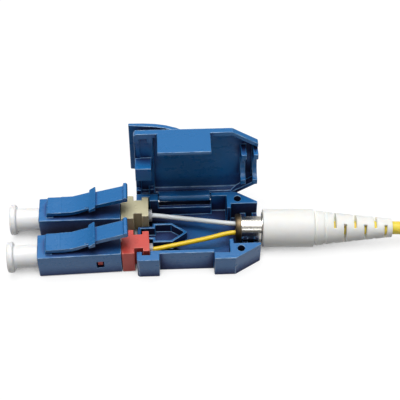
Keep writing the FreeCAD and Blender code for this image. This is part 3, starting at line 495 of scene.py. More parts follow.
class Finishes(Enum):
    """The finishes of the connector and its cord."""

    # Each plastic's edge colour is a painted highlight on its rounded edges. Its shade is a painted shade on
    # faces that don't look up and sideways, and its corner amount darkens closed corners as painted shade.
    HOUSING = MouldedPlastic("housing_blue_plastic", "housing_blue", srgb(30, 114, 178),
                             srgb(26, 106, 169), 0.24, painted_corner_shade=0.95, edge=srgb(150, 188, 222))
    PLUG = MouldedPlastic("plug_blue_plastic", "plug_blue", srgb(31, 116, 181), srgb(27, 108, 172), 0.22,
                          painted_corner_shade=0.95, edge=srgb(150, 188, 222))
    BEIGE = MouldedPlastic("body_beige_plastic", "body_beige", srgb(206, 200, 166),
                           srgb(199, 192, 157), 0.38, painted_corner_shade=0.3, edge=srgb(226, 222, 196))
    RED = MouldedPlastic("body_red_plastic", "body_red", srgb(214, 80, 68), srgb(206, 73, 62), 0.36,
                         painted_corner_shade=0.25, edge=srgb(238, 132, 116), glow=0.3)
    CAP = MouldedPlastic("cap_white_plastic", "cap_white", srgb(250, 250, 248), srgb(247, 247, 245), 0.36,
                         glow=0.7)
    BOOT = MouldedPlastic("boot_white_rubber", "boot_white", srgb(250, 250, 245), srgb(247, 247, 241), 0.5,
                          grain=0.14, glow=0.7)
    CERAMIC = MouldedPlastic("ferrule_ceramic", "ceramic", srgb(242, 240, 234), srgb(238, 235, 228), 0.16,
                             grain=0.02)
    FROSTED = MouldedPlastic("sleeve_frosted", "sleeve_grey", srgb(176, 178, 184), srgb(160, 163, 170), 0.3,
                             glow=0.3)
    TUBE_WHITE = MouldedPlastic("fibre_tube_white", "tube_white", srgb(236, 241, 243),
                                srgb(228, 234, 237), 0.3, glow=0.2)
    TUBE_YELLOW = MouldedPlastic("fibre_tube_yellow", "tube_yellow", srgb(250, 214, 38),
                                 srgb(244, 204, 30), 0.28)
    NICKEL = PlatedMetal("plain_nickel", "nickel", srgb(204, 202, 196))
    POST = PlatedMetal("post_nickel", "nickel", srgb(222, 219, 211), tarnish=srgb(104, 90, 70),
                       tarnish_from=6.55 * MM, tarnish_to=6.65 * MM)
    SPRING = PlatedMetal("spring_wire", "spring_steel", srgb(200, 200, 202), 0.24)
    JACKET = CableJacket("cable_yellow_jacket", "cable_yellow", srgb(252, 226, 84))
    STRAP = HookStrap("tie_black_strap", "tie_black", srgb(38, 38, 40))


# ---- mesh helpers -----------------------------------------------------------------------------------
WELD = 0.002 * MM               # corners nearer than this are one
FLAT_TURN = math.radians(0.6)   # faces that turn by less are one flat
CHAMFER_TURN = (math.radians(20), math.radians(62))    # how far a flat and its chamfer turn
CHAMFER_WIDTH = 0.26 * MM       # a chamfer is narrower than this
ROUND_FACES = 2                 # faces round a softened edge
ROUNDS_APART = 2.1              # the least gap between two rounded edges, in radii
FACED_LENGTH = 0.1 * MM         # how far two edges run side by side before they count
SIDE_AREA = 0.5 * MM ** 2       # a tongue's side is larger than this


def weld(mesh: bmesh.types.BMesh) -> None:
    """Join the corners of loose triangles."""
    bmesh.ops.remove_doubles(mesh, verts=mesh.verts, dist=WELD)


def flatten(mesh: bmesh.types.BMesh) -> None:
    """Make each flat one face."""
    bmesh.ops.dissolve_limit(mesh, angle_limit=FLAT_TURN, verts=mesh.verts, edges=mesh.edges)


def linked(name: str, data: bpy.types.ID) -> bpy.types.Object:
    """A new object of some data, in the scene."""
    made = bpy.data.objects.new(name, data)
    bpy.context.scene.collection.objects.link(made)
    return made


def new_piece(name: str, mesh: bmesh.types.BMesh, finish: Finishes, body: str) -> bpy.types.Object:
    """Turn a bmesh into a finished piece that rides on a body.

    Args:
        name: The piece's name.
        mesh: Its geometry, which is freed.
        finish: Its finish.
        body: The CAD body that it moves with.

    Returns:
        The new object.
    """
    data = bpy.data.meshes.new(name)
    mesh.to_mesh(data)
    mesh.free()
    for face in data.polygons:
        face.use_smooth = True
    piece = linked(name, data)
    data.materials.append(finish.value.material())
    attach(piece, body)
    return piece


def keep_sharp(mesh: bmesh.types.BMesh, degrees: float = 30.0) -> None:
    """Mark the edges that turn by more than an angle as sharp.

    Args:
        mesh: The mesh to mark.
        degrees: The least turn of a sharp edge.
    """
    for edge in mesh.edges:
        edge.smooth = edge.calc_face_angle(0.0) < math.radians(degrees)


def body_of(node: str) -> str:
    """The name of the body that a CAD node belongs to."""
    return frame["nodes"][node]["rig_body"]


def dress(node: str, finish: Finishes) -> None:
    """Give a CAD node that stays as it is a finish.

    Args:
        node: The node's name.
        finish: Its finish.
    """
    piece = frame["nodes"][node]
    piece.data.materials.clear()
    piece.data.materials.append(finish.value.material())
    LOG.info("%s keeps its solid, finished as %s", node, finish.value.name)


def merged(node: str) -> bmesh.types.BMesh:
    """A CAD node's surface with its corners joined and its flat faces whole.

    Args:
        node: The node's name.

    Returns:
        The mesh.
    """
    mesh = bmesh.new()
    mesh.from_mesh(frame["nodes"][node].data)
    weld(mesh)
    flatten(mesh)
    return mesh


@dataclass(frozen=True)
class Bend:
    """Where a sprung tongue bends: a point of its hinge line, the line's way and the way out on the tongue.

    The root is a bar that lies in a socket. The other sizes say how near a corner lies to count as the
    bar's or the socket's, and how far the bar swells to fill the socket.
    """

    point: Vector
    axis: Vector
    out: Vector
    root_radius: float = 0.375 * MM
    root_play: float = 0.008 * MM
    root_swell: float = 0.044 * MM
    lip_depth: float = 0.3 * MM
    lip_radii: tuple[float, float] = (0.33 * MM, 0.6 * MM)
    sharp_reach: float = 0.46 * MM
    touch: float = 0.01 * MM

    @staticmethod
    def of(name: str) -> "Bend":
        """The bend of a hinge joint.

        Args:
            name: The joint's name.

        Returns:
            The bend.
        """
        hinge = joint(name)
        axis = Vector(hinge["axis"])
        along = Vector((1, 0, 0))
        return Bend(Vector(hinge["pos_m"]), axis, (along - axis * along.dot(axis)).normalized())

    def away(self, place: Vector) -> float:
        """How far a place lies out along the tongue."""
        return (place - self.point).dot(self.out)

    def radial(self, place: Vector) -> Vector:
        """The way from the hinge line to a place."""
        reach = place - self.point
        return reach - self.axis * reach.dot(self.axis)

    def meets(self, edge: bmesh.types.BMEdge) -> bool:
        """Whether an edge lies where the tongue and its carrier meet."""
        return all(abs(self.away(vert.co)) < self.sharp_reach for vert in edge.verts)


def soften(node: str, finish: Finishes, radius: float, bend: str = "",
           shape: Callable[[bmesh.types.BMesh], None] | None = None) -> bpy.types.Object:
    """Replace a CAD node by a merged copy with rounded edges.

    Args:
        node: The node's name.
        finish: Its finish.
        radius: The edges' radius.
        bend: A sprung tongue's joint, whose meeting faces stay sharp so that the two parts read as one.
        shape: Alters the merged copy first.

    Returns:
        The new piece.
    """
    mesh = merged(node)
    if shape:
        shape(mesh)
    keep_sharp(mesh)
    fold = Bend.of(bend) if bend else None
    if fold:
        close_lips(mesh, fold)
    weight = mesh.edges.layers.float.new("bevel_weight_edge")
    for edge in mesh.edges:
        # Chamfer strips take the paler edge finish, a painted highlight.
        if borders_chamfer(edge):
            edge.smooth = True
            min(edge.link_faces, key=strip_width).material_index = 1
        edge[weight] = 0.0 if edge.smooth or (fold and fold.meets(edge)) else 1.0
    for face in mesh.faces:
        sharp = [edge for edge in face.edges if edge[weight] > 0]
        for pair in itertools.combinations(sharp, 2):
            if crowded(*pair, ROUNDS_APART * radius):
                min(pair, key=lambda edge: edge.calc_length())[weight] = 0.0
    return rounded_piece(node, mesh, finish, radius)


def crowded(first: bmesh.types.BMEdge, second: bmesh.types.BMEdge, least: float) -> bool:
    """Whether two edges of a face run side by side too close for both to be rounded.

    Args:
        first: One edge.
        second: The other.
        least: The least width between them.

    Returns:
        True where their rounds would cross.
    """
    start, length = first.verts[0].co, first.calc_length()
    way = (first.verts[1].co - start).normalized()
    ends = [vert.co - start for vert in second.verts]
    if abs((ends[1] - ends[0]).normalized().dot(way)) < 0.99:
        return False
    low, high = sorted(end.dot(way) for end in ends)
    across = (ends[0] - way * ends[0].dot(way)).length
    return across < least and min(length, high) - max(0.0, low) > FACED_LENGTH


def borders_chamfer(edge: bmesh.types.BMEdge) -> bool:
    """Whether an edge lies between a flat and a narrow chamfer, which shade as one rounded edge.

    Args:
        edge: The edge.

    Returns:
        True beside a chamfer.
    """
    least, most = CHAMFER_TURN
    if len(edge.link_faces) != 2 or not least < edge.calc_face_angle(0.0) < most:
        return False
    return min(strip_width(face) for face in edge.link_faces) < CHAMFER_WIDTH


def strip_width(face: bmesh.types.BMFace) -> float:
    """The mean width of a long narrow face."""
    return face.calc_area() / max(e.calc_length() for e in face.edges)


def close_lips(mesh: bmesh.types.BMesh, fold: Bend) -> None:
    """Bring a tongue's root and its socket close together, so that no groove shows between them.

    Args:
        mesh: The merged copy.
        fold: The tongue's bend.
    """
    least, most = fold.lip_radii
    for vert in mesh.verts:
        away, radial = fold.away(vert.co), fold.radial(vert.co)
        if away > -fold.touch:
            continue
        if abs(radial.length - fold.root_radius) < fold.root_play:
            vert.co += radial.normalized() * fold.root_swell
        elif away > -fold.lip_depth and least < radial.length < most and on_side(vert, fold.out):
            vert.co -= fold.out * away


def on_side(vert: bmesh.types.BMVert, way: Vector) -> bool:
    """Whether a corner belongs to a large flat that runs along a way."""
    return any(abs(face.normal.dot(way)) < 0.02 and face.calc_area() > SIDE_AREA for face in vert.link_faces)


def rounded_piece(node: str, mesh: bmesh.types.BMesh, finish: Finishes, radius: float) -> bpy.types.Object:
    """Finish a merged copy with a bevel on its weighted edges, in the CAD node's place.

    Args:
        node: The CAD node's name.
        mesh: The merged copy, with bevel weights.
        finish: Its finish.
        radius: The edges' radius.

    Returns:
        The new piece.
    """
    piece = new_piece(node + "_moulding", mesh, finish, body_of(node))
    bevel = piece.modifiers.new("rounded_edges", "BEVEL")
    bevel.width = radius
    bevel.segments = ROUND_FACES
    bevel.limit_method = "WEIGHT"
    bevel.use_clamp_overlap = False
    bevel.harden_normals = True
    # The bevel's faces take the paler edge finish, a painted highlight.
    if getattr(finish.value, "edge", None):
        piece.data.materials.append(finish.value.painted_highlight_finish().material())
        bevel.material = 1
    flat = piece.modifiers.new("flat_faces", "WEIGHTED_NORMAL")
    flat.keep_sharp = True
    LOG.info("%s is rounded by %.2f mm", node, radius / MM)
    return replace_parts(piece, node)


def lathe(profile: Profile, steps: int = 72) -> bmesh.types.BMesh:
    """Turn a closed outline about the X axis.

    Args:
        profile: Distances along the axis and radii, all round the section.
        steps: Faces round the axis.

    Returns:
        The turned solid.
    """
    mesh = bmesh.new()
    ring = [mesh.verts.new((x, 0.0, radius)) for x, radius in profile]
    edges = [mesh.edges.new(pair) for pair in zip(ring, ring[1:] + ring[:1])]
    bmesh.ops.spin(mesh, geom=ring + edges, cent=(0, 0, 0), axis=(1, 0, 0), angle=math.tau, steps=steps,
                   use_merge=True, use_duplicate=False)
    bmesh.ops.remove_doubles(mesh, verts=mesh.verts, dist=1e-7)
    bmesh.ops.recalc_face_normals(mesh, faces=mesh.faces)
    keep_sharp(mesh)
    return mesh


def rounded(corners: Profile, radius: float, steps: int = 4) -> list[tuple[float, float]]:
    """Round the corners of a line, apart from its two ends.

    Args:
        corners: The line's corners.
        radius: How far from a corner its rounding starts.
        steps: Points on each rounding, less one.

    Returns:
        The rounded line.
    """
    points = [Vector(c) for c in corners]
    line = [tuple(corners[0])]
    for before, corner, after in zip(points, points[1:], points[2:]):
        back, on = before - corner, after - corner
        reach = min(radius, back.length * 0.45, on.length * 0.45)
        start, end = corner + back.normalized() * reach, corner + on.normalized() * reach
        for step in range(steps + 1):
            share = step / steps
            low, high = start.lerp(corner, share), corner.lerp(end, share)
            line.append(tuple(low.lerp(high, share)))
    line.append(tuple(corners[-1]))
    return line


def smooth_route(points: Iterable[Sequence[float]], name: str) -> bpy.types.Curve:
    """A curve of one smooth spline with the points as its control points.

    Args:
        points: The route, in metres.
        name: The curve's name.

    Returns:
        The curve.
    """
    route = list(points)
    curve = bpy.data.curves.new(name, "CURVE")
    curve.dimensions = "3D"
    curve.resolution_u = 8
    spline = curve.splines.new("NURBS")
    spline.points.add(len(route) - 1)
    for point, place in zip(spline.points, route):
        point.co = (*place, 1.0)
    spline.order_u = 3
    spline.use_endpoint_u = True
    return curve


def joint(name: str) -> dict:
    """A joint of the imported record, by name."""
    return next(j for j in frame["joints"] if j["name"] == name)


def axis_place(name: str, node: str) -> Matrix:
    """The place of a turned piece: its own X axis laid along a sliding joint's line through a node.

    Args:
        name: The sliding joint.
        node: The node, whose low X end is centred on the line.

    Returns:
        The transform.
    """
    way = Vector(joint(name)["axis"])
    way = way if way.x > 0 else -way
    low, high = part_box(node)
    middle = Vector((low.x, (low.y + high.y) / 2, (low.z + high.z) / 2))
    return Matrix.Translation(middle) @ Matrix.Rotation(math.atan2(way.y, way.x), 4, "Z")


# ---- housing ----------------------------------------------------------------------------------------
@dataclass
class Housing:
    """The hinged blue shells and the release trigger."""

    edge: float = 0.10 * MM
    trigger_edge: float = 0.12 * MM
    cradle_span: tuple[float, float] = (6.7 * MM, 9.95 * MM)
    cradle_half: float = 3.86 * MM
    cradle_top: float = 1.7 * MM
    cradle_cad_top: float = 2.86 * MM

    def lower_cradle(self, mesh: bmesh.types.BMesh) -> None:
        """Take the tops of the post's cradle ribs down, so that they stay in the shade of the bay.

        Args:
            mesh: The tray's merged copy.
        """
        start, end = self.cradle_span
        for vert in mesh.verts:
            x, y, z = vert.co
            if start < x < end and abs(y) < self.cradle_half and self.cradle_top < z < self.cradle_cad_top:
                vert.co.z = self.cradle_top
        weld(mesh)
        bmesh.ops.dissolve_degenerate(mesh, edges=mesh.edges, dist=WELD)
        flatten(mesh)

    def build(self) -> None:
        """Round the edges of the tray, the lid and the trigger."""
        soften("tray", Finishes.HOUSING, self.edge, shape=self.lower_cradle)
        soften("lid", Finishes.HOUSING, self.edge, "trigger_press")
        soften("release_trigger", Finishes.HOUSING, self.trigger_edge, "trigger_press")


# ---- plugs ------------------------------------------------------------------------------------------
class Side(Enum):
    """The two plugs: the far one and the near one."""

    FAR = "a"
    NEAR = "b"


@dataclass
class Plug:
    """One plug with its latch, rear body, ferrule, spring and dust cap."""

    side: Side
    rear_finish: Finishes
    edge: float = 0.09 * MM
    mark_radius: float = 0.3 * MM
    mark_width: float = 0.05 * MM
    mark_height: float = 0.02 * MM
    mark_share: float = 0.56
    mark_steps: int = 32
    seam: float = 0.1 * MM
    collar_area: float = 4 * MM ** 2
    spring_stroke: float = 0.8 * MM
    lip_span: tuple[float, float] = (0.3 * MM, 0.7 * MM)
    lip_growth: float = 0.2 * MM
    cap_length: float = 7.45 * MM
    cap_rim: float = 0.95 * MM
    cap_rim_radius: float = 2.35 * MM
    cap_radius: float = 1.73 * MM
    cap_rounding: float = 0.25 * MM
    cap_nose: float = 2.9 * MM
    nose_radius: float = 1.6 * MM
    bore_radius: float = 1.0 * MM
    bore_start: float = 2.35 * MM

    def node(self, kind: str) -> str:
        """The name of this plug's CAD node of a kind."""
        return f"{kind}_{self.side.value}"

    def mouldings(self) -> None:
        """Round the edges of the plug body, latch lever and rear body."""
        bend = f"latch_{self.side.value}_press"
        soften(self.node("plug_housing"), Finishes.PLUG, self.edge, bend)
        soften(self.node("latch_lever"), Finishes.PLUG, self.edge, bend, shape=self.widen_lip)
        soften(self.node("rear_body"), self.rear_finish, self.edge, shape=self.part_seam)
        self.ejector_mark()

    def widen_lip(self, mesh: bmesh.types.BMesh) -> None:
        """Thicken the lip at the lever's tip into a full bead.

        Args:
            mesh: The lever's merged copy.
        """
        tip = max(vert.co.x for vert in mesh.verts)
        start, end = self.lip_span
        for vert in mesh.verts:
            if start < tip - vert.co.x < end:
                vert.co.x -= self.lip_growth

    def part_seam(self, mesh: bmesh.types.BMesh) -> None:
        """Draw the rear body's collar back a little, so that a fine dark seam parts it from the plug.

        Args:
            mesh: The rear body's merged copy.
        """
        out = Bend.of(f"latch_{self.side.value}_press").out
        fronts = [face for face in mesh.faces
                  if face.normal.dot(out) < -0.999 and face.calc_area() > self.collar_area]
        collar = min(fronts, key=lambda face: face.calc_center_median().dot(out))
        for vert in collar.verts:
            vert.co += out * self.seam

    def ejector_mark(self) -> None:
        """A faint raised ring on top of the rear body's neck, left by an ejector pin."""
        node = self.node("rear_body")
        low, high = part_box(node)
        collar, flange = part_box(self.node("plug_housing"))[1].x, high.x
        place = Vector((collar + (flange - collar) * self.mark_share, (low.y + high.y) / 2, high.z))
        height, inner, outer = self.mark_height, self.mark_radius, self.mark_radius + self.mark_width
        mesh = lathe([(0.0, inner), (height, inner), (height, outer), (0.0, outer)], self.mark_steps)
        turn = Matrix.Rotation(-math.pi / 2, 4, "Y")
        bmesh.ops.transform(mesh, matrix=Matrix.Translation(place) @ turn, verts=mesh.verts)
        new_piece(node + "_mark", mesh, self.rear_finish, body_of(node))

    def inner_parts(self) -> None:
        """Finish the parts that stay as the CAD has them."""
        dress(self.node("ferrule"), Finishes.CERAMIC)
        dress(self.node("ferrule_holder"), Finishes.NICKEL)
        dress(self.node("ferrule_spring"), Finishes.SPRING)
        self.shorten_spring()
        dress(self.node("lead_sleeve"), Finishes.FROSTED)

    def shorten_spring(self) -> None:
        """Give the spring its own copy of its mesh."""
        node, slide = self.node("ferrule_spring"), self.node("ferrule") + "_slide"
        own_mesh(frame["nodes"][node])

    def dust_cap(self) -> bpy.types.Object:
        """The turned dust cap, with rounded rims and its blind bore.

        Returns:
            The cap.
        """
        rim, nose_start = self.cap_rim, self.cap_length - self.cap_nose
        outline = [(0.0, 0.0), (0.0, self.cap_rim_radius), (rim, self.cap_rim_radius),
                   (rim, self.cap_radius), (nose_start, self.cap_radius), (nose_start, self.nose_radius),
                   (self.cap_length, self.nose_radius), (self.cap_length, self.bore_radius),
                   (self.bore_start, self.bore_radius), (self.bore_start, 0.0)]
        mesh = lathe(rounded(outline, self.cap_rounding))
        node = self.node("dust_cap")
        bmesh.ops.transform(mesh, matrix=axis_place(node + "_pull", node), verts=mesh.verts)
        cap = new_piece(node + "_turned", mesh, Finishes.CAP, body_of(node))
        LOG.info("%s is turned with a %.1f mm rim", node, 2 * self.cap_rim_radius / MM)
        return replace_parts(cap, node)

    def build(self) -> None:
        """Make and dress every piece of the plug."""
        self.mouldings()
        self.inner_parts()
        self.dust_cap()


# ---- rear of the connector ----------------------------------------------------------------------------
@dataclass
class RearEnd:
    """The fibre tubes, crimp post, crimp sleeve and the boots of both connectors."""

    edge: float = 0.07 * MM
    tube_draw: float = 0.08 * MM
    tube_turn: float = 50.0
    boot_face: tuple[float, float, float] = (9.8975 * MM, -0.1455 * MM, 2.9 * MM)
    boot_turn: float = -2.0
    far_face: tuple[float, float, float] = (124.2 * MM, 0.0, 2.9 * MM)
    far_turn: float = 180.0
    stations: tuple[tuple[float, float], ...] = (
        (0.0, 0.0), (9.8 * MM, 0.0), (11.1 * MM, 0.45 * MM), (19.4 * MM, 0.45 * MM), (20.2 * MM, 0.3 * MM))

    def place(self, face: tuple[float, float, float], turn: float) -> Matrix:
        """The place of a boot.

        Args:
            face: The centre of its front face.
            turn: Its turn about the upright, in degrees.

        Returns:
            The transform from the boot's own frame, with its face at x = 0 and its axis on X.
        """
        return Matrix.Translation(face) @ Matrix.Rotation(math.radians(turn), 4, "Z")

    def settled(self, x: float) -> float:
        """Where a point along the boot ends up, as the slots sit a little nearer the front.

        Args:
            x: Its distance from the boot's face.

        Returns:
            The new distance.
        """
        for (x0, back0), (x1, back1) in zip(self.stations, self.stations[1:]):
            if x <= x1:
                return x - back0 - (back1 - back0) * max(0.0, x - x0) / (x1 - x0)
        return x - self.stations[-1][1]

    def fibre_tube(self, node: str, finish: Finishes) -> bpy.types.Object:
        """A smooth, slightly drawn-in fibre tube in place of the CAD node.

        Args:
            node: The CAD node's name.
            finish: Its finish.

        Returns:
            The tube.
        """
        mesh = merged(node)
        mesh.normal_update()
        for vert in mesh.verts:
            vert.co -= vert.normal * self.tube_draw
        keep_sharp(mesh, self.tube_turn)
        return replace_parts(new_piece(node + "_drawn", mesh, finish, body_of(node)), node)

    def boot(self, node: str, face: tuple[float, float, float], turn: float) -> bpy.types.Object:
        """A slotted boot, shaped from the boot's merged surface.

        Args:
            node: The CAD node that it takes the place of.
            face: The centre of its front face.
            turn: Its turn about the upright, in degrees.

        Returns:
            The boot.
        """
        mesh = merged("boot")
        upright = self.place(self.boot_face, self.boot_turn).inverted()
        bmesh.ops.transform(mesh, matrix=upright, verts=mesh.verts)
        for vert in mesh.verts:
            vert.co.x = self.settled(vert.co.x)
        bmesh.ops.transform(mesh, matrix=self.place(face, turn), verts=mesh.verts)
        keep_sharp(mesh)
        weight = mesh.edges.layers.float.new("bevel_weight_edge")
        for edge in mesh.edges:
            edge[weight] = 0.0 if edge.smooth else 1.0
        return rounded_piece(node, mesh, Finishes.BOOT, self.edge)

    def build(self) -> None:
        """Make the boots and dress the rear end's other pieces."""
        self.fibre_tube("fibre_tube_a", Finishes.TUBE_WHITE)
        self.fibre_tube("fibre_tube_b", Finishes.TUBE_YELLOW)
        dress("crimp_sleeve", Finishes.NICKEL)
        dress("cable_end", Finishes.JACKET)
        soften("crimp_post", Finishes.POST, self.edge)
        self.boot("boot", self.boot_face, self.boot_turn)
        self.boot("far_boot", self.far_face, self.far_turn)


# ---- cord -------------------------------------------------------------------------------------------
@dataclass
class PatchCord:
    """The yellow cable, put away in a hank, and the closed connector on its far end."""

    radius: float = 1.0 * MM
    free_length: float = 0.39
    near_route: tuple[tuple[float, float, float], ...] = (
        (0.030086, -0.000850, 0.0029), (0.03608, -0.00106, 0.0029), (0.043, -0.0032, 0.0019),
        (0.050, -0.0042, 0.0016), (0.057, -0.0043, 0.0016))
    far_route: tuple[tuple[float, float, float], ...] = (
        (0.076, -0.0043, 0.0032), (0.083, -0.0042, 0.0032), (0.090, -0.0032, 0.0031),
        (0.097, 0.0, 0.0029), (0.104, 0.0, 0.0029))
    wide_fold: float = 8.0 * MM
    tight_fold: float = 6.2 * MM
    low_layer: float = 1.42 * MM
    high_layer: float = 3.4 * MM
    fold_steps: int = 12
    turns: int = 3
    first_fold: float = 0.25
    second_fold: float = 0.72
    fold_share: float = 0.24
    straight_share: float = 0.27
    straight_parts: tuple[float, ...] = (0.2, 0.5, 0.8)
    tightens: tuple[float, float] = (0.82, 0.98)
    climbs: tuple[float, float] = (0.62, 0.8)
    widens: tuple[float, float] = (0.26, 0.44)
    smoothness: int = 8

    def far_nodes(self) -> list[str]:
        """The CAD nodes of the far connector, apart from its boot."""
        return [node for node in frame["nodes"] if node.startswith("far_") and node != "far_boot"]

    def fold_centres(self) -> tuple[Vector, Vector]:
        """The centres of the hank's folds.

        Returns:
            The centre near the connector and the one beyond.
        """
        low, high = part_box("cable_hank")
        reach = (high.y - low.y) / 2
        y = (low.y + high.y) / 2
        return Vector((low.x + reach, y, 0)), Vector((high.x - reach, y, 0))

    def lane(self, turn: int, share: float) -> tuple[float, float]:
        """Radius and height of the cable at a place in the hank.

        Args:
            turn: Number of the turn, from zero.
            share: How far round the turn, from 0 to 1, starting on the near side.

        Returns:
            The fold radius and the height.
        """
        def ease(start: float, end: float) -> float:
            """A soft step from 0 to 1 between two shares of the turn."""
            step = min(1.0, max(0.0, (share - start) / (end - start)))
            return step * step * (3 - 2 * step)
        drop, lift = self.wide_fold - self.tight_fold, self.high_layer - self.low_layer
        if turn == 0:
            return self.wide_fold - drop * ease(*self.tightens), self.low_layer
        if turn == 1:
            return self.tight_fold, self.low_layer + lift * ease(*self.climbs)
        return self.tight_fold + drop * ease(*self.widens), self.high_layer

    def hank_route(self) -> list[tuple[float, float, float]]:
        """The control points of the hank's turns, worked out turn by turn.

        Returns:
            Points in metres.
        """
        near, beyond = self.fold_centres()
        points = []
        spread = math.cos(math.pi / self.fold_steps / 2)
        folds = ((beyond, near, -90.0, self.first_fold, 1), (near, beyond, 90.0, self.second_fold, -1))
        for turn in range(self.turns):
            for centre, other, start, first, side in folds:
                for step in range(self.fold_steps):
                    part = (step + 0.5) / self.fold_steps
                    radius, height = self.lane(turn, first + self.fold_share * part)
                    angle = math.radians(start + 180.0 * part)
                    points.append((centre.x + radius / spread * math.cos(angle),
                                   centre.y + radius / spread * math.sin(angle), height))
                radius, height = self.lane(turn, first + self.straight_share)
                for part in self.straight_parts:
                    points.append((centre.x + (other.x - centre.x) * part, centre.y + side * radius, height))
        return points[:-2]

    def cable(self) -> bpy.types.Object:
        """The whole free cable as one curve.

        Returns:
            The cable.
        """
        curve = smooth_route([*self.near_route, *self.hank_route(), *self.far_route], "patch_cable")
        curve.bevel_depth = self.radius
        curve.bevel_resolution = self.smoothness
        curve.use_fill_caps = True
        piece = linked("patch_cable", curve)
        curve.materials.append(Finishes.JACKET.value.material())
        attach(piece, body_of("cable_hank"))
        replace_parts(piece, "cable_run_near", "cable_hank", "cable_run_far")
        LOG.info("the cable is %.0f mm long", self.free_length / MM)
        return piece

    def far_connector(self) -> None:
        """Finish the closed connector on the cord's far end."""
        for node in self.far_nodes():
            dress(node, self.far_finish(node))

    def far_finish(self, node: str) -> Finishes:
        """The finish of one of the far connector's nodes.

        Args:
            node: The node's name.

        Returns:
            Its finish.
        """
        kinds = {"far_crimp_post": Finishes.NICKEL, "far_cable_end": Finishes.JACKET,
                 "far_rear_body_a": Finishes.BEIGE, "far_rear_body_b": Finishes.RED,
                 "far_dust_cap_a": Finishes.CAP, "far_dust_cap_b": Finishes.CAP,
                 "far_plug_a": Finishes.PLUG, "far_plug_b": Finishes.PLUG}
        return kinds.get(node, Finishes.HOUSING)

    def build(self) -> None:
        """Make the cable and dress what is on it."""
        self.cable()
        self.far_connector()
        for node in ("hank_tie_a", "hank_tie_b"):
            dress(node, Finishes.STRAP)


# ---- studio -----------------------------------------------------------------------------------------
@dataclass(frozen=True)
class Lamp:
    """A soft oblong lamp: where it hangs, its width and height in metres, and its power in watts."""

    name: str
    place: tuple[float, float, float]
    size: tuple[float, float]
    power: float

    def hang(self, target: Vector) -> None:
        """Hang the lamp and turn it to a point.

        Args:
            target: The point.
        """
        data = bpy.data.lights.new(self.name, "AREA")
        data.shape = "RECTANGLE"
        data.size, data.size_y = self.size
        data.energy = self.power
        aim = (target - Vector(self.place)).to_track_quat("-Z", "Y")
        linked(self.name, data).matrix_world = Matrix.Translation(self.place) @ aim.to_matrix().to_4x4()


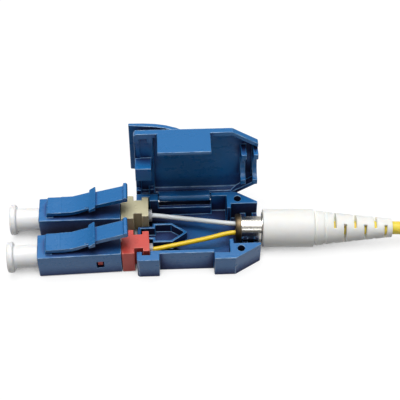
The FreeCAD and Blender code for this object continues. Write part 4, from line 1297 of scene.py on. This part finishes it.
@dataclass
class Studio:
    """Floor, lamps, world and camera."""

    azimuth: float = -2.639
    elevation: float = 51.935
    roll: float = 0.44
    distance: float = 167.89 * MM
    target: Vector = field(default_factory=lambda: Vector((0.37, 0.0, 3.0)) * MM)
    lens: float = 98.2
    sensor: float = 36.0
    shift_x: float = -0.0009
    shift_y: float = 0.0714
    bounce: float = 0.29
    shadow: float = 0.22
    backdrop: float = 0.82
    fill: float = 0.07
    horizon: float = 0.05
    zenith: float = 0.7
    lean: float = 0.5
    floor_half: float = 3.0
    floor_drop: float = 0.02 * MM
    # how far from the part the floor's painted shadow reaches
    painted_shadow_reach: float = 8 * MM
    lamps: tuple[Lamp, ...] = (Lamp("top_lamp", (-0.04, 0.06, 0.58), (0.42, 0.42), 3.75),
                               Lamp("front_lamp", (0.0, -0.4, 0.32), (0.24, 0.06), 0.2))

    def camera(self) -> None:
        """Place the camera and make it the scene's."""
        around, above = math.radians(self.azimuth), math.radians(self.elevation)
        level = Vector((math.sin(around), -math.cos(around), 0.0))
        back = level * math.cos(above) + Vector((0.0, 0.0, math.sin(above)))
        right = Vector((math.cos(around), math.sin(around), 0.0))
        up = back.cross(right)
        cosine, sine = math.cos(math.radians(self.roll)), math.sin(math.radians(self.roll))
        right, up = right * cosine + up * sine, up * cosine - right * sine
        data = bpy.data.cameras.new("camera")
        data.lens, data.sensor_width = self.lens, self.sensor
        data.shift_x, data.shift_y = self.shift_x, self.shift_y
        data.clip_start, data.clip_end = 0.005, 5.0
        eye = linked("camera", data)
        place = Matrix((right, up, back)).transposed().to_4x4()
        place.translation = self.target + back * self.distance
        eye.matrix_world = place
        bpy.context.scene.camera = eye

    def floor(self) -> None:
        """The pale floor, which shows white to the camera and keeps the part's shadow, with a painted shadow
        where it lies close to the part.
        """
        mesh = bmesh.new()
        bmesh.ops.create_grid(mesh, x_segments=1, y_segments=1, size=self.floor_half)
        bmesh.ops.translate(mesh, verts=mesh.verts, vec=(0, 0, -self.floor_drop))
        data = bpy.data.meshes.new("floor")
        mesh.to_mesh(data)
        mesh.free()
        floor = linked("floor", data)
        made = bpy.data.materials.new("floor_white")
        graph = clean_graph(made)
        bounce = graph.add("BsdfDiffuse", {"Color": (self.bounce,) * 3 + (1.0,)})
        paper = graph.add("BsdfDiffuse", {"Color": (self.shadow,) * 3 + (1.0,)})
        # Painted shadow: the backdrop's glow fades where the Ambient Occlusion node finds the floor close to
        # the part
        near = graph.add("AmbientOcclusion", {"Distance": self.painted_shadow_reach}, samples=8)
        painted_shadow_gate = graph.ramp(near.outputs["AO"], [(0.0, 0.0), (0.4, 1.0)])
        lit = graph.maths("MULTIPLY", painted_shadow_gate, self.backdrop)
        glow = graph.add("Emission", {"Color": (1, 1, 1, 1), "Strength": lit})
        shown = graph.add("AddShader", {0: paper.outputs[0], 1: glow.outputs[0]})
        path = graph.add("LightPath")
        seen = graph.maths("MAXIMUM", path.outputs["Is Camera Ray"], self.mirrored(graph, path))
        mixed = graph.add("MixShader", {0: seen, 1: bounce.outputs[0], 2: shown.outputs[0]})
        graph.add("OutputMaterial", {"Surface": mixed.outputs[0]})
        data.materials.append(made)

    def mirrored(self, graph: Graph, path: bpy.types.Node) -> bpy.types.NodeSocket:
        """One for the rays that come off metal or through something clear.

        Args:
            graph: The graph to add to.
            path: Its Light Path node.

        Returns:
            The share.
        """
        return graph.maths("MAXIMUM", path.outputs["Is Glossy Ray"], path.outputs["Is Transmission Ray"])

    def world(self) -> None:
        """A surround that is white to the camera and a soft dome to bright metal."""
        world = bpy.data.worlds.new("surround")
        graph = clean_graph(world)
        path = graph.add("LightPath")
        way = graph.add("SeparateXYZ", {"Vector": graph.add("TexCoord").outputs["Generated"]})
        height = graph.maths("ADD", way.outputs["Z"], graph.maths("MULTIPLY", way.outputs["Y"], self.lean))
        dome = graph.ramp(height, [(0.3, self.horizon), (1.0, self.zenith)])
        glossy = graph.maths("MULTIPLY", self.mirrored(graph, path), dome)
        whole = graph.maths("ADD", graph.maths("ADD", path.outputs["Is Camera Ray"], glossy), self.fill)
        sky = graph.add("Background", {"Color": (1, 1, 1, 1), "Strength": whole})
        graph.add("OutputWorld", {"Surface": sky.outputs[0]})
        bpy.context.scene.world = world

    def build(self) -> None:
        """Set the stage."""
        bpy.context.scene.view_settings.view_transform = "Standard"
        self.camera()
        self.floor()
        self.world()
        for lamp in self.lamps:
            lamp.hang(self.target)


def main() -> None:
    """Build the sub-assemblies in order."""
    logging.basicConfig(level=logging.INFO, format="%(name)s: %(message)s")
    Studio().build()
    Housing().build()
    Plug(Side.FAR, Finishes.BEIGE).build()
    Plug(Side.NEAR, Finishes.RED).build()
    RearEnd().build()
    PatchCord().build()


if __name__ == "__main__":
    main()
